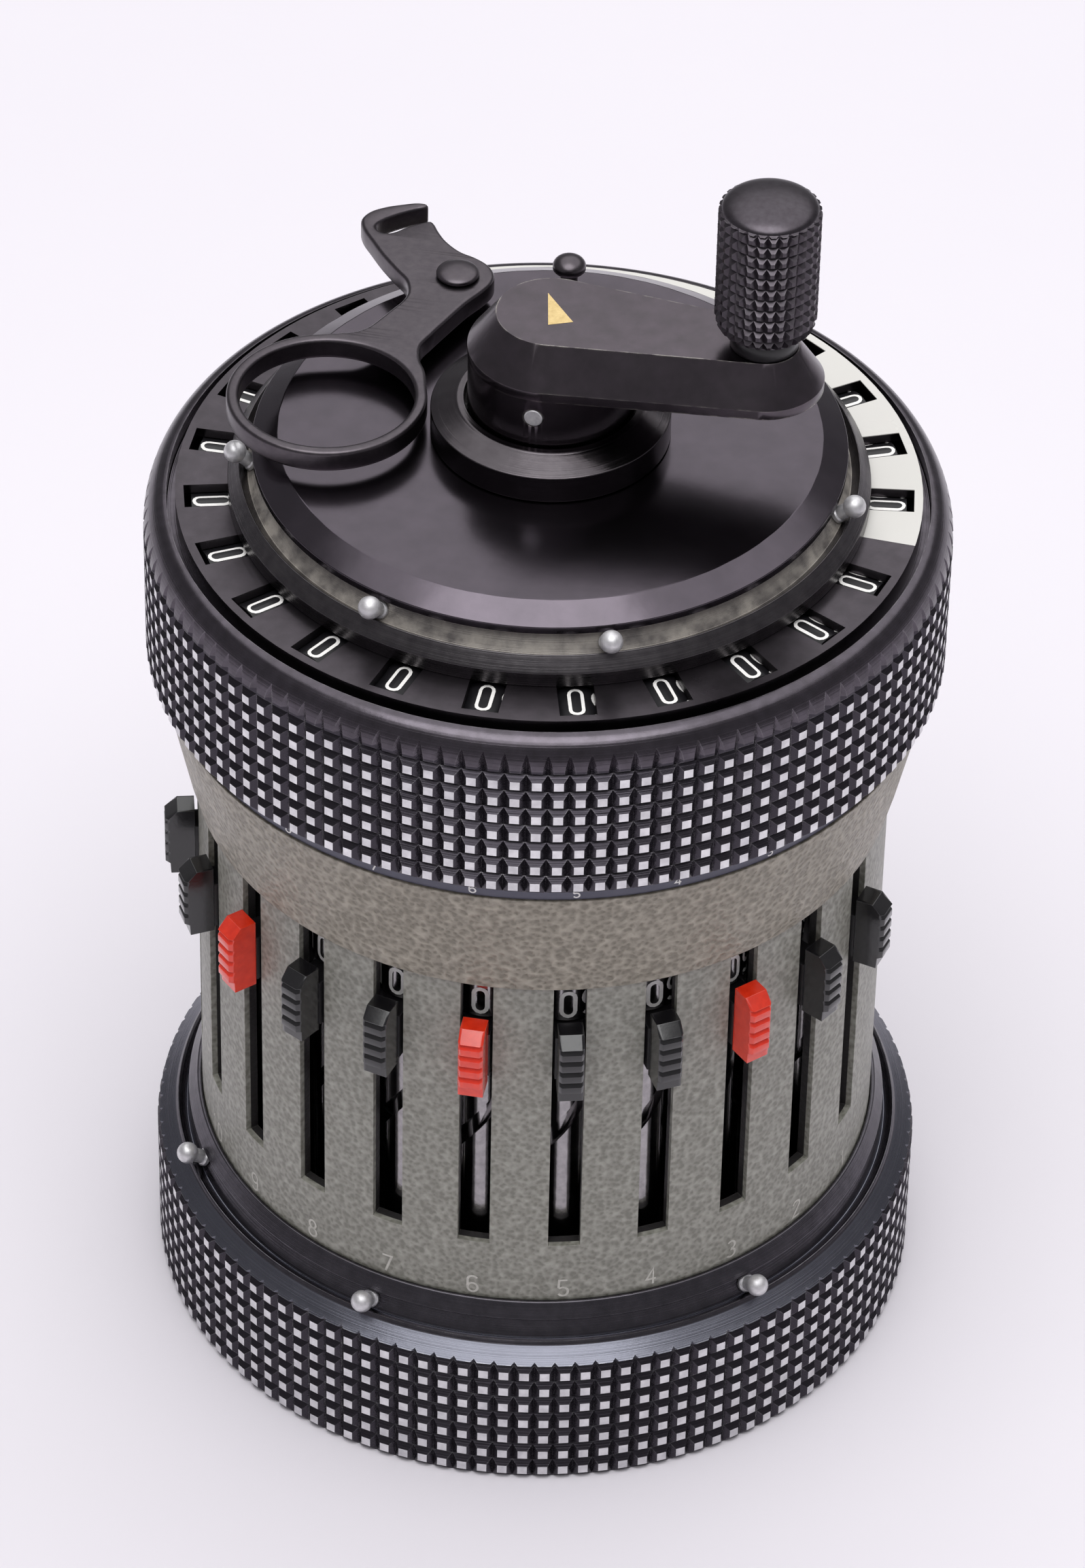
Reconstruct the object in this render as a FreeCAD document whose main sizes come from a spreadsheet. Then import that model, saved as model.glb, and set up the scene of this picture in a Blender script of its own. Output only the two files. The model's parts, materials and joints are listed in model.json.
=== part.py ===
import FreeCAD, Part
import math
import os
import re
import Sketcher
from FreeCAD import Placement, Rotation, Vector

# Hand-held stepped-drum calculator. Millimetres, +Z up along the crank shaft, origin on the floor
# under the shaft, -Y through the middle (sixth) setting slot. Angles are in degrees about +Z.

# Driving sizes
sizes = {
    # outer casing
    "bodyRadius": 28.6, "bodyWall": 1.2, "knurlProud": 3.9, "slotWidth": 2.65, "slotPitch": 15.0,
    "slotRise": 6.0, "slotHide": 0.6, "seamRise": 4.3, "seamLip": 0.3, "tubeRise": 9.0,
    "casingFlare": 2.8, "casingLip": 0.5, "positionStep": 0.2, "positionRingHeight": 1.3,
    # fits
    "seatGap": 0.05, "plateGap": 0.1, "runningFit": 0.05, "liftHeight": 3.0, "cutBeyond": 1.0,
    # base ring
    "knurlTop": 12.9, "bevelWidth": 1.6, "bevelRise": 1.2, "coneRise": 3.1, "baseConeLip": 0.35,
    "footChamfer": 0.4, "coverInset": 2.3, "coverThickness": 2.0,
    # marker grooves and markers
    "grooveDepth": 0.9, "baseGrooveWidth": 1.7, "baseGrooveOffset": 2.4, "topGrooveWidth": 1.6,
    "topGrooveOffset": 0.6, "markerPlay": 0.07, "footHeight": 0.45, "stemRadius": 0.6,
    "ballRadius": 0.92, "ballHeight": 1.9,
    # inner frame
    "bossHeight": 3.0, "bossRadius": 2.4, "screwRadius": 1.0, "screwHeadRadius": 1.9,
    "screwHeadHeight": 0.9, "screwPlay": 0.1, "bearingPlateThickness": 2.5,
    "bearingBossRadius": 6.0, "bearingBossHeight": 1.8, "guideWall": 2.4, "guideHeadPlay": 0.3,
    "guideShoulderWidth": 3.0,
    # drive
    "shaftRadius": 2.6, "shaftFootGap": 1.0, "shaftSink": 1.6, "ratchetRadius": 11.0,
    "ratchetThickness": 3.0, "ratchetGap": 0.1, "ratchetTeeth": 24.0, "ratchetToothDepth": 1.0,
    "drumWall": 1.6, "drumHubWall": 1.9, "drumWeb": 3.0, "drumGap": 1.6, "drumEnd": 3.0,
    "drumToothReach": 0.9, "drumToothWidth": 0.8, "drumToothPitch": 5.0, "drumToothRun": 0.2,
    "meshGap": 0.15, "drivePinRadius": 1.0, "drivePinCircle": 8.5, "drivePinClear": 0.4,
    "drivePinPlay": 0.08,
    # setting works
    "digitStep": 2.0, "spindleRadius": 2.2, "spindleClear": 0.5, "pivotRadius": 0.8,
    "dialDrumRadius": 2.9, "dialDrumHeight": 5.1, "dialDrumGap": 0.3, "helixPitch": 20.0,
    "helixMargin": 1.2, "threadWidth": 2.1, "threadDepth": 0.7, "threadRunOut": 0.4,
    "followerRadius": 0.4, "followerReach": 0.5, "followerSeat": 0.35, "nutRise": 1.2,
    "nutHeight": 3.2, "nutWall": 0.55, "nutPlay": 0.08, "knobDrop": 0.6, "knobHeight": 6.6,
    "knobWidth": 2.06, "knobReach": 2.75, "knobGap": 0.25, "knobRound": 0.5, "knobFootRound": 0.6,
    "knobTopRound": 0.7, "stemPlay": 0.35, "stemEndPlay": 0.8, "stemSeat": 0.2,
    "shaftOffset": 6.4, "pinionRadius": 1.6, "pinionHeight": 1.5, "gearRadius": 2.15,
    "toothDepth": 0.45, "toothSpace": 0.36, "toothMouth": 1.0, "gearRise": 0.4,
    "gearThickness": 1.6, "gearTeeth": 10.0, "gearHubWall": 0.45, "gearHubHeight": 3.4,
    "forkThickness": 1.2, "forkWall": 0.73, "forkPlay": 0.12, "forkArmWidth": 1.6,
    "joinDepth": 0.3,
    # reversing lever at the back
    "reverseRise": 9.8, "reverseTravel": 6.0, "reverseHeight": 5.4, "reverseReach": 2.6,
    "reverseKnobWidth": 5.0, "reverseSlideGap": 0.5, "reverseSlideDepth": 1.7,
    "slotEndPlay": 0.3,
    # carriage
    "ringGap": 0.2, "carriageHeight": 15.5, "rimDrop": 0.5, "rimWidth": 1.9, "ringWall": 2.9,
    "ledgeWidth": 0.6, "ledgeDrop": 1.8, "ledgeThickness": 1.6, "plateMargin": 0.7,
    "plateThickness": 0.8, "skirtWall": 0.6, "windowMargin": 0.7, "windowLength": 4.2,
    "windowWidth": 2.9, "whiteStart": 7.5, "markerRingOverlap": 0.7, "markerRingLipHeight": 1.25,
    "markerRingHeight": 3.5, "markerRingSlope": 1.8, "markerRingWidth": 3.5,
    "carrierWall": 3.0, "carrierWallDrop": 3.6, "carrierRise": 1.5, "carrierHubGap": 0.2,
    "springPocketDepth": 4.1, "dialRadius": 3.0, "dialEndGap": 0.4, "dialTopGap": 0.1,
    "dialAxleRadius": 0.8, "crownOffset": 0.8, "crownThickness": 1.2,
    "crownRadius": 2.3, "crownMeshGap": 0.3, "washerWidth": 2.2, "washerPlay": 0.3,
    "washerThickness": 0.6, "nutRingHeight": 1.3, "springWire": 0.7, "springOffset": 1.0,
    "springTurns": 3.0,
    # clearing plate, lever and hub collar
    "clearInset": 0.15, "clearThickness": 1.8, "clearEdgeDrop": 1.15, "clearBevel": 2.05,
    "clearHubRadius": 11.0, "clearPlay": 0.1, "collarWall": 0.7, "collarFlange": 1.37,
    "collarEdgeRise": 2.4, "collarRise": 3.35, "collarLip": 0.55, "collarFloorRise": 0.8,
    "leverRise": 0.9, "leverThickness": 1.9, "leverGap": 0.2335, "ringPlace": 187.823,
    "ringDistance": 19.0, "ringAngle": 248.0, "fingerHoleRadius": 7.0, "fingerRingWidth": 1.0,
    "headRadius": 2.95, "hookCircle": 9.05, "hookAngle": 140.0, "hookPlay": 0.2,
    "hookOpen": 40.0, "tailTipReach": 10.8, "tailTipTurn": 16.0, "tailCrownReach": 11.35,
    "tailCrownTurn": 4.0, "tailBackReach": 10.4, "tailBackTurn": 13.0, "tailRootReach": 8.45,
    "tailRootTurn": 21.6, "waistReach": 5.35, "waistTurn": 24.0, "neckReach": 9.8,
    "neckTurn": 13.4, "ringJoinTurn": 15.0, "headOuterTurn": 84.0, "headInnerTurn": 60.0,
    "shoulderReach": 4.5, "shoulderTurn": 28.0,
    "rivetRadius": 1.0, "rivetHeadRadius": 1.75, "rivetCrownRadius": 1.225,
    "rivetHeadHeight": 0.7, "studAngle": 13.8, "studNeckRadius": 0.7, "studHeadRadius": 1.35,
    "studCrownRadius": 0.81, "studHeadRise": 0.25, "studHeadSlope": 0.25, "studHeadHeight": 1.4,
    # crank
    "hubRadius": 6.65, "hubPlay": 0.25, "hubRise": 1.6, "armClear": 0.25, "armEdgeHeight": 0.8,
    "armHeight": 3.9, "armHubRadius": 6.7, "armHubTopRadius": 4.5, "armLength": 16.9,
    "armEndRadius": 4.85, "armEndTopRadius": 2.8, "crankAngle": -2.2, "crossPinRadius": 0.75,
    "crossPinDrop": 1.7, "crossPinProud": 0.05, "gripRadius": 3.97, "gripKnurlLength": 11.2,
    "gripDomeHeight": 1.45,
    "gripDomeRadius": 3.1, "gripCrownRadius": 1.86, "gripCrownDrop": 0.5, "gripChamfer": 0.6,
    "gripSpindleRadius": 1.3, "gripSpindleDrop": 1.6, "gripBorePlay": 0.5,
    "gripCollarRadius": 2.7, "gripCollarHeight": 1.45, "gripSeatFloor": 0.3,
}

# Sizes that follow from the driving ones, as expressions
derived = {
    # radii, from the casing inward
    "knurlRadius": "bodyRadius + knurlProud",
    "baseRimRadius": "knurlRadius - bevelWidth",
    "coverRadius": "knurlRadius - coverInset",
    "casingRadius": "bodyRadius + casingFlare",
    "positionRingRadius": "casingRadius - positionStep",
    "rimRadius": "knurlRadius - rimWidth",
    "rimRound": "rimWidth - seatGap",
    "ringBore": "knurlRadius - ringWall",
    "ledgeRadius": "ringBore - ledgeWidth",
    "plateRadius": "rimRadius - plateMargin",
    "windowOuter": "plateRadius - windowMargin",
    "windowInner": "windowOuter - windowLength",
    "markerRingRadius": "windowInner + markerRingOverlap",
    "markerRingShoulder": "markerRingRadius - markerRingSlope",
    "plateBore": "markerRingRadius - markerRingWidth",
    "clearRadius": "markerRingShoulder - clearInset",
    "clearFlatRadius": "clearRadius - clearBevel",
    "dialOuter": "ledgeRadius - dialEndGap",
    "dialChord": "sqrt(dialRadius ^ 2 - (windowWidth / 2) ^ 2)",
    "dialInner": "windowInner + dialTopGap",
    "carrierRadius": "dialInner - dialEndGap",
    "spindleCircle": "bodyRadius - bodyWall - dialDrumRadius - dialDrumGap",
    "shaftCircle": "spindleCircle - shaftOffset",
    "screwCircle": "(spindleCircle + shaftCircle) / 2",
    "crownInner": "shaftCircle + crownOffset",
    "carrierHubRadius": "shaftCircle - pinionRadius - carrierHubGap",
    "drumRadius": "shaftCircle - gearRadius - drumToothReach - meshGap",
    "drumHubRadius": "shaftRadius + drumHubWall",
    "guideRadius": "shaftRadius + guideWall",
    "guideShoulderRadius": "guideRadius + guideShoulderWidth",
    "carrierBore": "guideRadius + runningFit",
    "springMean": "guideRadius + springOffset",
    "washerRadius": "guideRadius + washerWidth",
    "springPocketRadius": "washerRadius + washerPlay",
    "collarSleeve": "springPocketRadius + collarWall",
    "collarRadius": "collarSleeve + collarFlange",
    "collarBore": "hubRadius + hubPlay",
    "collarConeRadius": "collarBore + collarLip",
    "fingerRingRadius": "fingerHoleRadius + fingerRingWidth",
    "ringJoinReach": "ringDistance - fingerHoleRadius",
    "ringCircle": "collarRadius + leverGap + fingerRingRadius",
    "hookWidth": "2 * (studNeckRadius + hookPlay)",
    "nutBore": "spindleRadius + nutPlay",
    "gearHubRadius": "pivotRadius + gearHubWall",
    "forkRadius": "gearHubRadius + forkPlay + forkWall",
    "stemWidth": "slotWidth - stemPlay",
    "bodyBore": "bodyRadius - bodyWall",
    # heights, from the floor up
    "tubeFoot": "coverThickness",
    "lowerFoot": "tubeFoot + bossHeight",
    "lowerTop": "lowerFoot + bearingPlateThickness",
    "ratchetFoot": "lowerTop + bearingBossHeight + ratchetGap",
    "ratchetTop": "ratchetFoot + ratchetThickness",
    "drivePinFoot": "lowerTop + drivePinClear",
    "drumFoot": "ratchetTop + drumGap",
    "shaftFoot": "coverThickness + shaftFootGap",
    "spindleFoot": "lowerTop + spindleClear",
    "baseRimHeight": "knurlTop + bevelRise",
    "baseConeTop": "baseRimHeight + coneRise",
    "slotBottom": "baseConeTop + slotRise",
    "sliderTravel": "digitStep * 9",
    "stemFoot": "slotBottom + sliderTravel + stemEndPlay",
    "knobFoot": "stemFoot - knobDrop",
    "nutFoot": "stemFoot + nutRise",
    "nutTop": "nutFoot + nutHeight",
    "followerHeight": "nutFoot + nutHeight / 2",
    "gearFoot": "stemFoot + gearRise",
    "gearTop": "gearFoot + gearThickness",
    "forkFoot": "gearTop + forkPlay",
    "drumTop": "gearTop + drumEnd",
    "dialDrumFoot": "nutTop + dialDrumGap",
    "dialDrumTop": "dialDrumFoot + dialDrumHeight",
    "seamHeight": "dialDrumFoot + seamRise",
    "slotTop": "seamHeight + slotHide",
    "tubeTop": "seamHeight + tubeRise",
    "upperTop": "tubeTop + bearingPlateThickness",
    "casingTop": "upperTop + casingLip",
    "positionRingTop": "casingTop + positionRingHeight",
    "reverseSlotBottom": "slotBottom + reverseRise",
    "reverseFoot": "reverseSlotBottom + slotEndPlay + reverseTravel",
    "reverseTop": "reverseFoot + reverseHeight",
    "reverseSlotTop": "reverseTop + slotEndPlay",
    "ringFoot": "positionRingTop + ringGap",
    "plateTop": "ringFoot + carriageHeight",
    "plateUnder": "plateTop - plateThickness",
    "rimTop": "plateTop - rimDrop",
    "ledgeHeight": "plateTop - ledgeDrop",
    "dialAxisHeight": "plateUnder - dialTopGap - dialChord",
    "transmissionTop": "dialAxisHeight - crownRadius - crownMeshGap",
    "carrierFoot": "transmissionTop - pinionHeight",
    "guideShoulderTop": "carrierFoot - plateGap",
    "carrierWallFoot": "dialAxisHeight - carrierWallDrop",
    "carrierTop": "plateTop + carrierRise",
    "springPocketFloor": "carrierTop - springPocketDepth",
    "washerFoot": "springPocketFloor + plateGap",
    "washerTop": "washerFoot + washerThickness",
    "markerRingLip": "plateTop + markerRingLipHeight",
    "markerRingTop": "plateTop + markerRingHeight",
    "clearUnder": "markerRingTop + plateGap",
    "clearTop": "clearUnder + clearThickness",
    "clearEdge": "clearTop - clearEdgeDrop",
    "collarFloor": "clearTop + collarFloorRise",
    "collarEdge": "clearTop + collarEdgeRise",
    "collarTop": "clearTop + collarRise",
    "guideTop": "collarFloor - guideHeadPlay",
    "nutRingFoot": "guideTop - nutRingHeight",
    "rivetFoot": "clearUnder + clearPlay",
    "leverFoot": "clearTop + leverRise",
    "leverTop": "leverFoot + leverThickness",
    "rivetTop": "leverTop + clearPlay + rivetHeadHeight",
    "studHeadFoot": "leverTop + studHeadRise",
    "studTop": "studHeadFoot + studHeadHeight",
    "hubFoot": "clearTop + hubRise",
    "armFoot": "studTop + liftHeight + armClear",
    "armEdge": "armFoot + armEdgeHeight",
    "armTop": "armFoot + armHeight",
    "shaftTop": "armTop - shaftSink",
    "crossPinHeight": "armFoot - crossPinDrop",
    "gripSpindleFoot": "armFoot + gripSeatFloor",
    "gripFoot": "armTop + gripCollarHeight + clearPlay",
    "gripKnurlTop": "gripFoot + gripKnurlLength",
    "gripTop": "gripKnurlTop + gripDomeHeight",
    "gripSpindleTop": "gripKnurlTop - gripSpindleDrop",
    "gripBoreTop": "gripSpindleTop + gripBorePlay",
}

slider_count = 11
window_black = 15
window_white = 8
screw_count = 3
drum_teeth = 9
first_slot = -15.0
base_marker_angles = [-151.0, -107.0, -43.1]
top_marker_angles = [-166.9, -113.3, -68.6, -6.0]

doc = FreeCAD.newDocument("Calculator")
sheet = doc.addObject("Spreadsheet::Sheet", "Sizes")
for row, (alias, number) in enumerate(sizes.items(), start=1):
    sheet.set("A%d" % row, alias)
    sheet.set("B%d" % row, str(number))
    sheet.setAlias("B%d" % row, alias)
doc.recompute()

sub_parts = []


def bound(text):
    """Write each size as its cell in the sheet, and each derived one as its own expression."""
    def full(match):
        word = match.group(0)
        if word in derived:
            return "(" + bound(derived[word]) + ")"
        return "Sizes." + word if word in sizes else word
    return re.sub(r"[A-Za-z]+", full, text)


def value(text):
    return float(sheet.evalExpression(bound(text)))


def new_body(label):
    body = doc.addObject("PartDesign::Body", label)
    body.Label = label
    return body


def keep(label, item):
    """List an object as a sub-part under the name of its file."""
    item.Label = label
    sub_parts.append(item)
    return item


def origin_item(body, role):
    for item in body.Origin.OriginFeatures:
        if item.Role == role:
            return item
    raise ValueError(role)


def new_sketch(body, role, name, rise="0", turn="0"):
    """A sketch on an origin plane, raised along its normal and turned about it."""
    sketch = body.newObject("Sketcher::SketchObject", name)
    sketch.AttachmentSupport = (origin_item(body, role), [""])
    sketch.MapMode = "FlatFace"
    turned = Rotation(Vector(0, 0, 1), value(turn))
    sketch.AttachmentOffset = Placement(Vector(0, 0, value(rise)), turned)
    sketch.setExpression("AttachmentOffset.Base.z", bound(rise))
    if turn != "0":
        sketch.setExpression("AttachmentOffset.Rotation.Angle", bound(turn) + " * 1 deg")
    return sketch


def bind_distance(sketch, kind, item, end, text):
    number = value(text)
    if number < 0:
        spot = sketch.addConstraint(Sketcher.Constraint(kind, item, end, -1, 1, -number))
        sketch.setExpression("Constraints[%d]" % spot, "-(%s)" % bound(text))
        return
    spot = sketch.addConstraint(Sketcher.Constraint(kind, -1, 1, item, end, number))
    sketch.setExpression("Constraints[%d]" % spot, bound(text))


def bind_point(sketch, item, end, across, up):
    if across == "0":
        sketch.addConstraint(Sketcher.Constraint("PointOnObject", item, end, -2))
    else:
        bind_distance(sketch, "DistanceX", item, end, across)
    if up == "0":
        sketch.addConstraint(Sketcher.Constraint("PointOnObject", item, end, -1))
    else:
        bind_distance(sketch, "DistanceY", item, end, up)


def draw_loop(sketch, points):
    """A closed outline of straight lines; each corner is a pair of expressions."""
    spots = [Vector(value(across), value(up), 0) for across, up in points]
    first = sketch.GeometryCount
    count = len(points)
    for step in range(count):
        line = Part.LineSegment(spots[step], spots[(step + 1) % count])
        sketch.addGeometry(line, False)
    for step in range(count):
        follower = first + (step + 1) % count
        sketch.addConstraint(Sketcher.Constraint("Coincident", first + step, 2, follower, 1))
    for step, (across, up) in enumerate(points):
        bind_point(sketch, first + step, 1, across, up)


def draw_circle(sketch, across, up, radius):
    circle = Part.Circle(Vector(value(across), value(up), 0), Vector(0, 0, 1), value(radius))
    item = sketch.addGeometry(circle, False)
    if across == "0" and up == "0":
        sketch.addConstraint(Sketcher.Constraint("Coincident", item, 3, -1, 1))
    else:
        bind_point(sketch, item, 3, across, up)
    spot = sketch.addConstraint(Sketcher.Constraint("Radius", item, value(radius)))
    sketch.setExpression("Constraints[%d]" % spot, bound(radius))


def turned_body(label, points):
    """A body turned about Z from an outline in radius and height."""
    body = new_body(label)
    sketch = new_sketch(body, "XZ_Plane", label + "_outline")
    draw_loop(sketch, points)
    turn = body.newObject("PartDesign::Revolution", label + "_turned")
    turn.Profile = sketch
    turn.ReferenceAxis = (sketch, ["V_Axis"])
    turn.Angle = 360
    doc.recompute()
    return body


def pad(body, sketch, length, name, downward=False):
    feature = body.newObject("PartDesign::Pad", name)
    feature.Profile = sketch
    feature.setExpression("Length", bound(length))
    feature.Reversed = downward
    doc.recompute()
    return feature


def pocket(body, sketch, length, name, away=False):
    """A cut along the sketch's normal, or against it; the volume must go down."""
    before = body.Shape.Volume
    feature = body.newObject("PartDesign::Pocket", name)
    feature.Profile = sketch
    feature.setExpression("Length", bound(length))
    feature.Reversed = away
    doc.recompute()
    if body.Shape.Volume > before - 1e-6:
        raise RuntimeError("%s cuts nothing" % name)
    return feature


def around(body, feature, count, angle, backward=False):
    """Repeat a feature about Z, evenly over an angle; a full turn leaves no double."""
    pattern = body.newObject("PartDesign::PolarPattern", feature.Name + "_around")
    pattern.Originals = [feature]
    pattern.Axis = (origin_item(body, "Z_Axis"), [""])
    pattern.Angle = angle
    pattern.Occurrences = count
    pattern.Reversed = backward
    body.Tip = pattern
    doc.recompute()
    return pattern


def ring_edge(shape, radius, height):
    """Name of the round edge of a turned shape nearest to a radius and a height."""
    best = None
    for number, edge in enumerate(shape.Edges, start=1):
        if not hasattr(edge.Curve, "Radius"):
            continue
        gap = abs(edge.Curve.Radius - radius) + abs(edge.Curve.Center.z - height)
        if best is None or gap < best[0]:
            best = (gap, number)
    return "Edge%d" % best[1]


def fillet(body, edge, radius, name):
    base = body.Tip
    feature = body.newObject("PartDesign::Fillet", name)
    feature.Base = (base, [edge])
    feature.setExpression("Radius", bound(radius))
    body.Tip = feature
    doc.recompute()
    return feature


def group(label, shapes):
    """Separate solids of one kind that share a node."""
    item = doc.addObject("Part::Feature", label)
    item.Shape = Part.makeCompound(shapes)
    return keep(label, item)


def turned_copy(shape, angle):
    copy = shape.copy()
    copy.rotate(Vector(0, 0, 0), Vector(0, 0, 1), angle)
    return copy


def place_about_axis(item, angle):
    item.Placement = Placement(Vector(0, 0, 0), Rotation(Vector(0, 0, 1), angle))


# Marker grooves

def groove_corners(top, bottom, offset, width):
    """Corners of a channel sunk square into a sloping face, as expressions.

    top and bottom are the face's upper and lower edges as (radius, height) expressions."""
    run = "(%s - (%s))" % (bottom[0], top[0])
    fall = "(%s - (%s))" % (top[1], bottom[1])
    length = "sqrt(%s ^ 2 + %s ^ 2)" % (run, fall)
    along = ["%s / %s" % (run, length), "-%s / %s" % (fall, length)]
    inward = ["-%s / %s" % (fall, length), "-%s / %s" % (run, length)]
    corners = []
    for side, depth in (("-", "0"), ("-", "grooveDepth"), ("+", "grooveDepth"), ("+", "0")):
        reach = "(%s %s %s / 2)" % (offset, side, width)
        corners.append(tuple(
            "%s + %s * %s + %s * %s" % (top[axis], reach, along[axis], depth, inward[axis])
            for axis in (0, 1)))
    return corners


def face_frame(top, bottom, offset):
    """Middle of a channel's mouth as radius and height, and the face's tilt from upright."""
    start = Vector(value(top[0]), 0, value(top[1]))
    end = Vector(value(bottom[0]), 0, value(bottom[1]))
    along = (end - start).normalize()
    mouth = start + along * value(offset)
    tilt = math.degrees(math.atan2(-along.z, along.x))
    return mouth, tilt


base_cone_top = ("bodyRadius + seatGap + baseConeLip", "baseConeTop")
base_cone_foot = ("baseRimRadius", "baseRimHeight")
top_cone_top = ("markerRingShoulder", "markerRingTop")
top_cone_foot = ("markerRingRadius", "markerRingLip")


def marker(label, angle, top, bottom, offset, width):
    """A ball-tipped pin whose foot runs in a marker groove."""
    foot = "(%s / 2 - markerPlay)" % width
    body = new_body(label)
    sketch = new_sketch(body, "XZ_Plane", label + "_outline")
    neck = "ballHeight - sqrt(ballRadius ^ 2 - stemRadius ^ 2)"
    draw_loop(sketch, [("0", "markerPlay"), (foot, "markerPlay"), (foot, "footHeight"),
                       ("stemRadius", "footHeight"), ("stemRadius", neck), ("0", neck)])
    stem = body.newObject("PartDesign::Revolution", label + "_stem")
    stem.Profile = sketch
    stem.ReferenceAxis = (sketch, ["V_Axis"])
    stem.Angle = 360
    doc.recompute()
    ball_sketch = new_sketch(body, "XZ_Plane", label + "_ball_outline")
    middle = value("ballHeight")
    radius = value("ballRadius")
    arc = Part.ArcOfCircle(Part.Circle(Vector(0, middle, 0), Vector(0, 0, 1), radius),
                           -math.pi / 2, math.pi / 2)
    ball_sketch.addGeometry(arc, False)
    chord = Part.LineSegment(Vector(0, middle + radius, 0), Vector(0, middle - radius, 0))
    ball_sketch.addGeometry(chord, False)
    ball_sketch.addConstraint(Sketcher.Constraint("Coincident", 0, 2, 1, 1))
    ball_sketch.addConstraint(Sketcher.Constraint("Coincident", 0, 1, 1, 2))
    ball_sketch.addConstraint(Sketcher.Constraint("PointOnObject", 1, 1, -2))
    ball_sketch.addConstraint(Sketcher.Constraint("PointOnObject", 1, 2, -2))
    ball_sketch.addConstraint(Sketcher.Constraint("PointOnObject", 0, 3, -2))
    bind_distance(ball_sketch, "DistanceY", 0, 3, "ballHeight")
    spot = ball_sketch.addConstraint(Sketcher.Constraint("Radius", 0, radius))
    ball_sketch.setExpression("Constraints[%d]" % spot, bound("ballRadius"))
    ball = body.newObject("PartDesign::Revolution", label + "_ball")
    ball.Profile = ball_sketch
    ball.ReferenceAxis = (ball_sketch, ["V_Axis"])
    ball.Angle = 360
    doc.recompute()
    mouth, tilt = face_frame(top, bottom, offset)
    lean = Rotation(Vector(0, 1, 0), tilt)
    outward = lean.multVec(Vector(0, 0, 1))
    foot_spot = mouth - outward * value("grooveDepth")
    swing = Rotation(Vector(0, 0, 1), angle)
    body.Placement = Placement(swing.multVec(foot_spot), swing.multiply(lean))
    return keep(label, body)


# Casing

base_ring = turned_body("base_ring", [
    ("coverRadius + seatGap", "0"), ("knurlRadius - footChamfer", "0"),
    ("knurlRadius", "footChamfer"), ("knurlRadius", "knurlTop"), base_cone_foot,
    *reversed(groove_corners(base_cone_top, base_cone_foot, "baseGrooveOffset",
                             "baseGrooveWidth")), base_cone_top,
    ("bodyRadius + seatGap", "baseConeTop"), ("bodyRadius + seatGap", "tubeFoot"),
    ("coverRadius + seatGap", "tubeFoot")])
keep("base_ring", base_ring)

cover = turned_body("base_plate", [
    ("0", "0"), ("coverRadius", "0"), ("coverRadius", "tubeFoot"), ("0", "tubeFoot")])
boss_sketch = new_sketch(cover, "XY_Plane", "boss_circle", "tubeFoot", "90")
draw_circle(boss_sketch, "screwCircle", "0", "bossRadius")
boss = pad(cover, boss_sketch, "bossHeight", "boss")
around(cover, boss, screw_count, 360)
counterbore = new_sketch(cover, "XY_Plane", "screw_seat", "0", "90")
draw_circle(counterbore, "screwCircle", "0", "screwHeadRadius + screwPlay")
seat = pocket(cover, counterbore, "screwHeadHeight + screwPlay", "screw_seat_cut", True)
around(cover, seat, screw_count, 360)
clearance = new_sketch(cover, "XY_Plane", "screw_hole", "0", "90")
draw_circle(clearance, "screwCircle", "0", "screwRadius + screwPlay")
hole = pocket(cover, clearance, "tubeFoot + bossHeight", "screw_hole_cut", True)
around(cover, hole, screw_count, 360)
keep("base_plate", cover)

screw = turned_body("base_screw", [
    ("0", "screwPlay"), ("screwHeadRadius", "screwPlay"),
    ("screwHeadRadius", "screwPlay + screwHeadHeight"),
    ("screwRadius", "screwPlay + screwHeadHeight"),
    ("screwRadius", "lowerTop - screwPlay"), ("0", "lowerTop - screwPlay")])
screw_shape = screw.Shape.copy()
screw_shape.translate(Vector(value("screwCircle"), 0, 0))
group("base_screws", [turned_copy(screw_shape, 90 + step * 360 / screw_count)
                      for step in range(screw_count)])

tube = turned_body("body_tube", [
    ("bodyBore", "tubeFoot"), ("bodyRadius", "tubeFoot"), ("bodyRadius", "tubeTop"),
    ("bodyBore", "tubeTop")])
slot_sketch = new_sketch(tube, "XZ_Plane", "setting_slot")
draw_loop(slot_sketch, [("-slotWidth / 2", "slotBottom"), ("slotWidth / 2", "slotBottom"),
                        ("slotWidth / 2", "slotTop"), ("-slotWidth / 2", "slotTop")])
slot = pocket(tube, slot_sketch, "bodyRadius + cutBeyond", "setting_slot_cut", True)
half = (slider_count - 1) // 2
around(tube, slot, half + 1, half * value("slotPitch"))
around(tube, slot, half + 1, half * value("slotPitch"), True)
back_sketch = new_sketch(tube, "XZ_Plane", "reverse_slot")
draw_loop(back_sketch, [("-slotWidth / 2", "reverseSlotBottom"),
                        ("slotWidth / 2", "reverseSlotBottom"),
                        ("slotWidth / 2", "reverseSlotTop"), ("-slotWidth / 2", "reverseSlotTop")])
pocket(tube, back_sketch, "bodyRadius + cutBeyond", "reverse_slot_cut")
keep("body_tube", tube)

casing = turned_body("upper_casing", [
    ("bodyRadius + seatGap", "seamHeight"), ("bodyRadius + seamLip", "seamHeight"),
    ("casingRadius", "casingTop"), ("bodyRadius + seatGap", "casingTop")])
keep("upper_casing", casing)

position_ring = turned_body("position_ring", [
    ("bodyRadius + seatGap", "casingTop"), ("positionRingRadius", "casingTop"),
    ("positionRingRadius", "positionRingTop"), ("bodyRadius + seatGap", "positionRingTop")])
keep("position_ring", position_ring)

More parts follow.
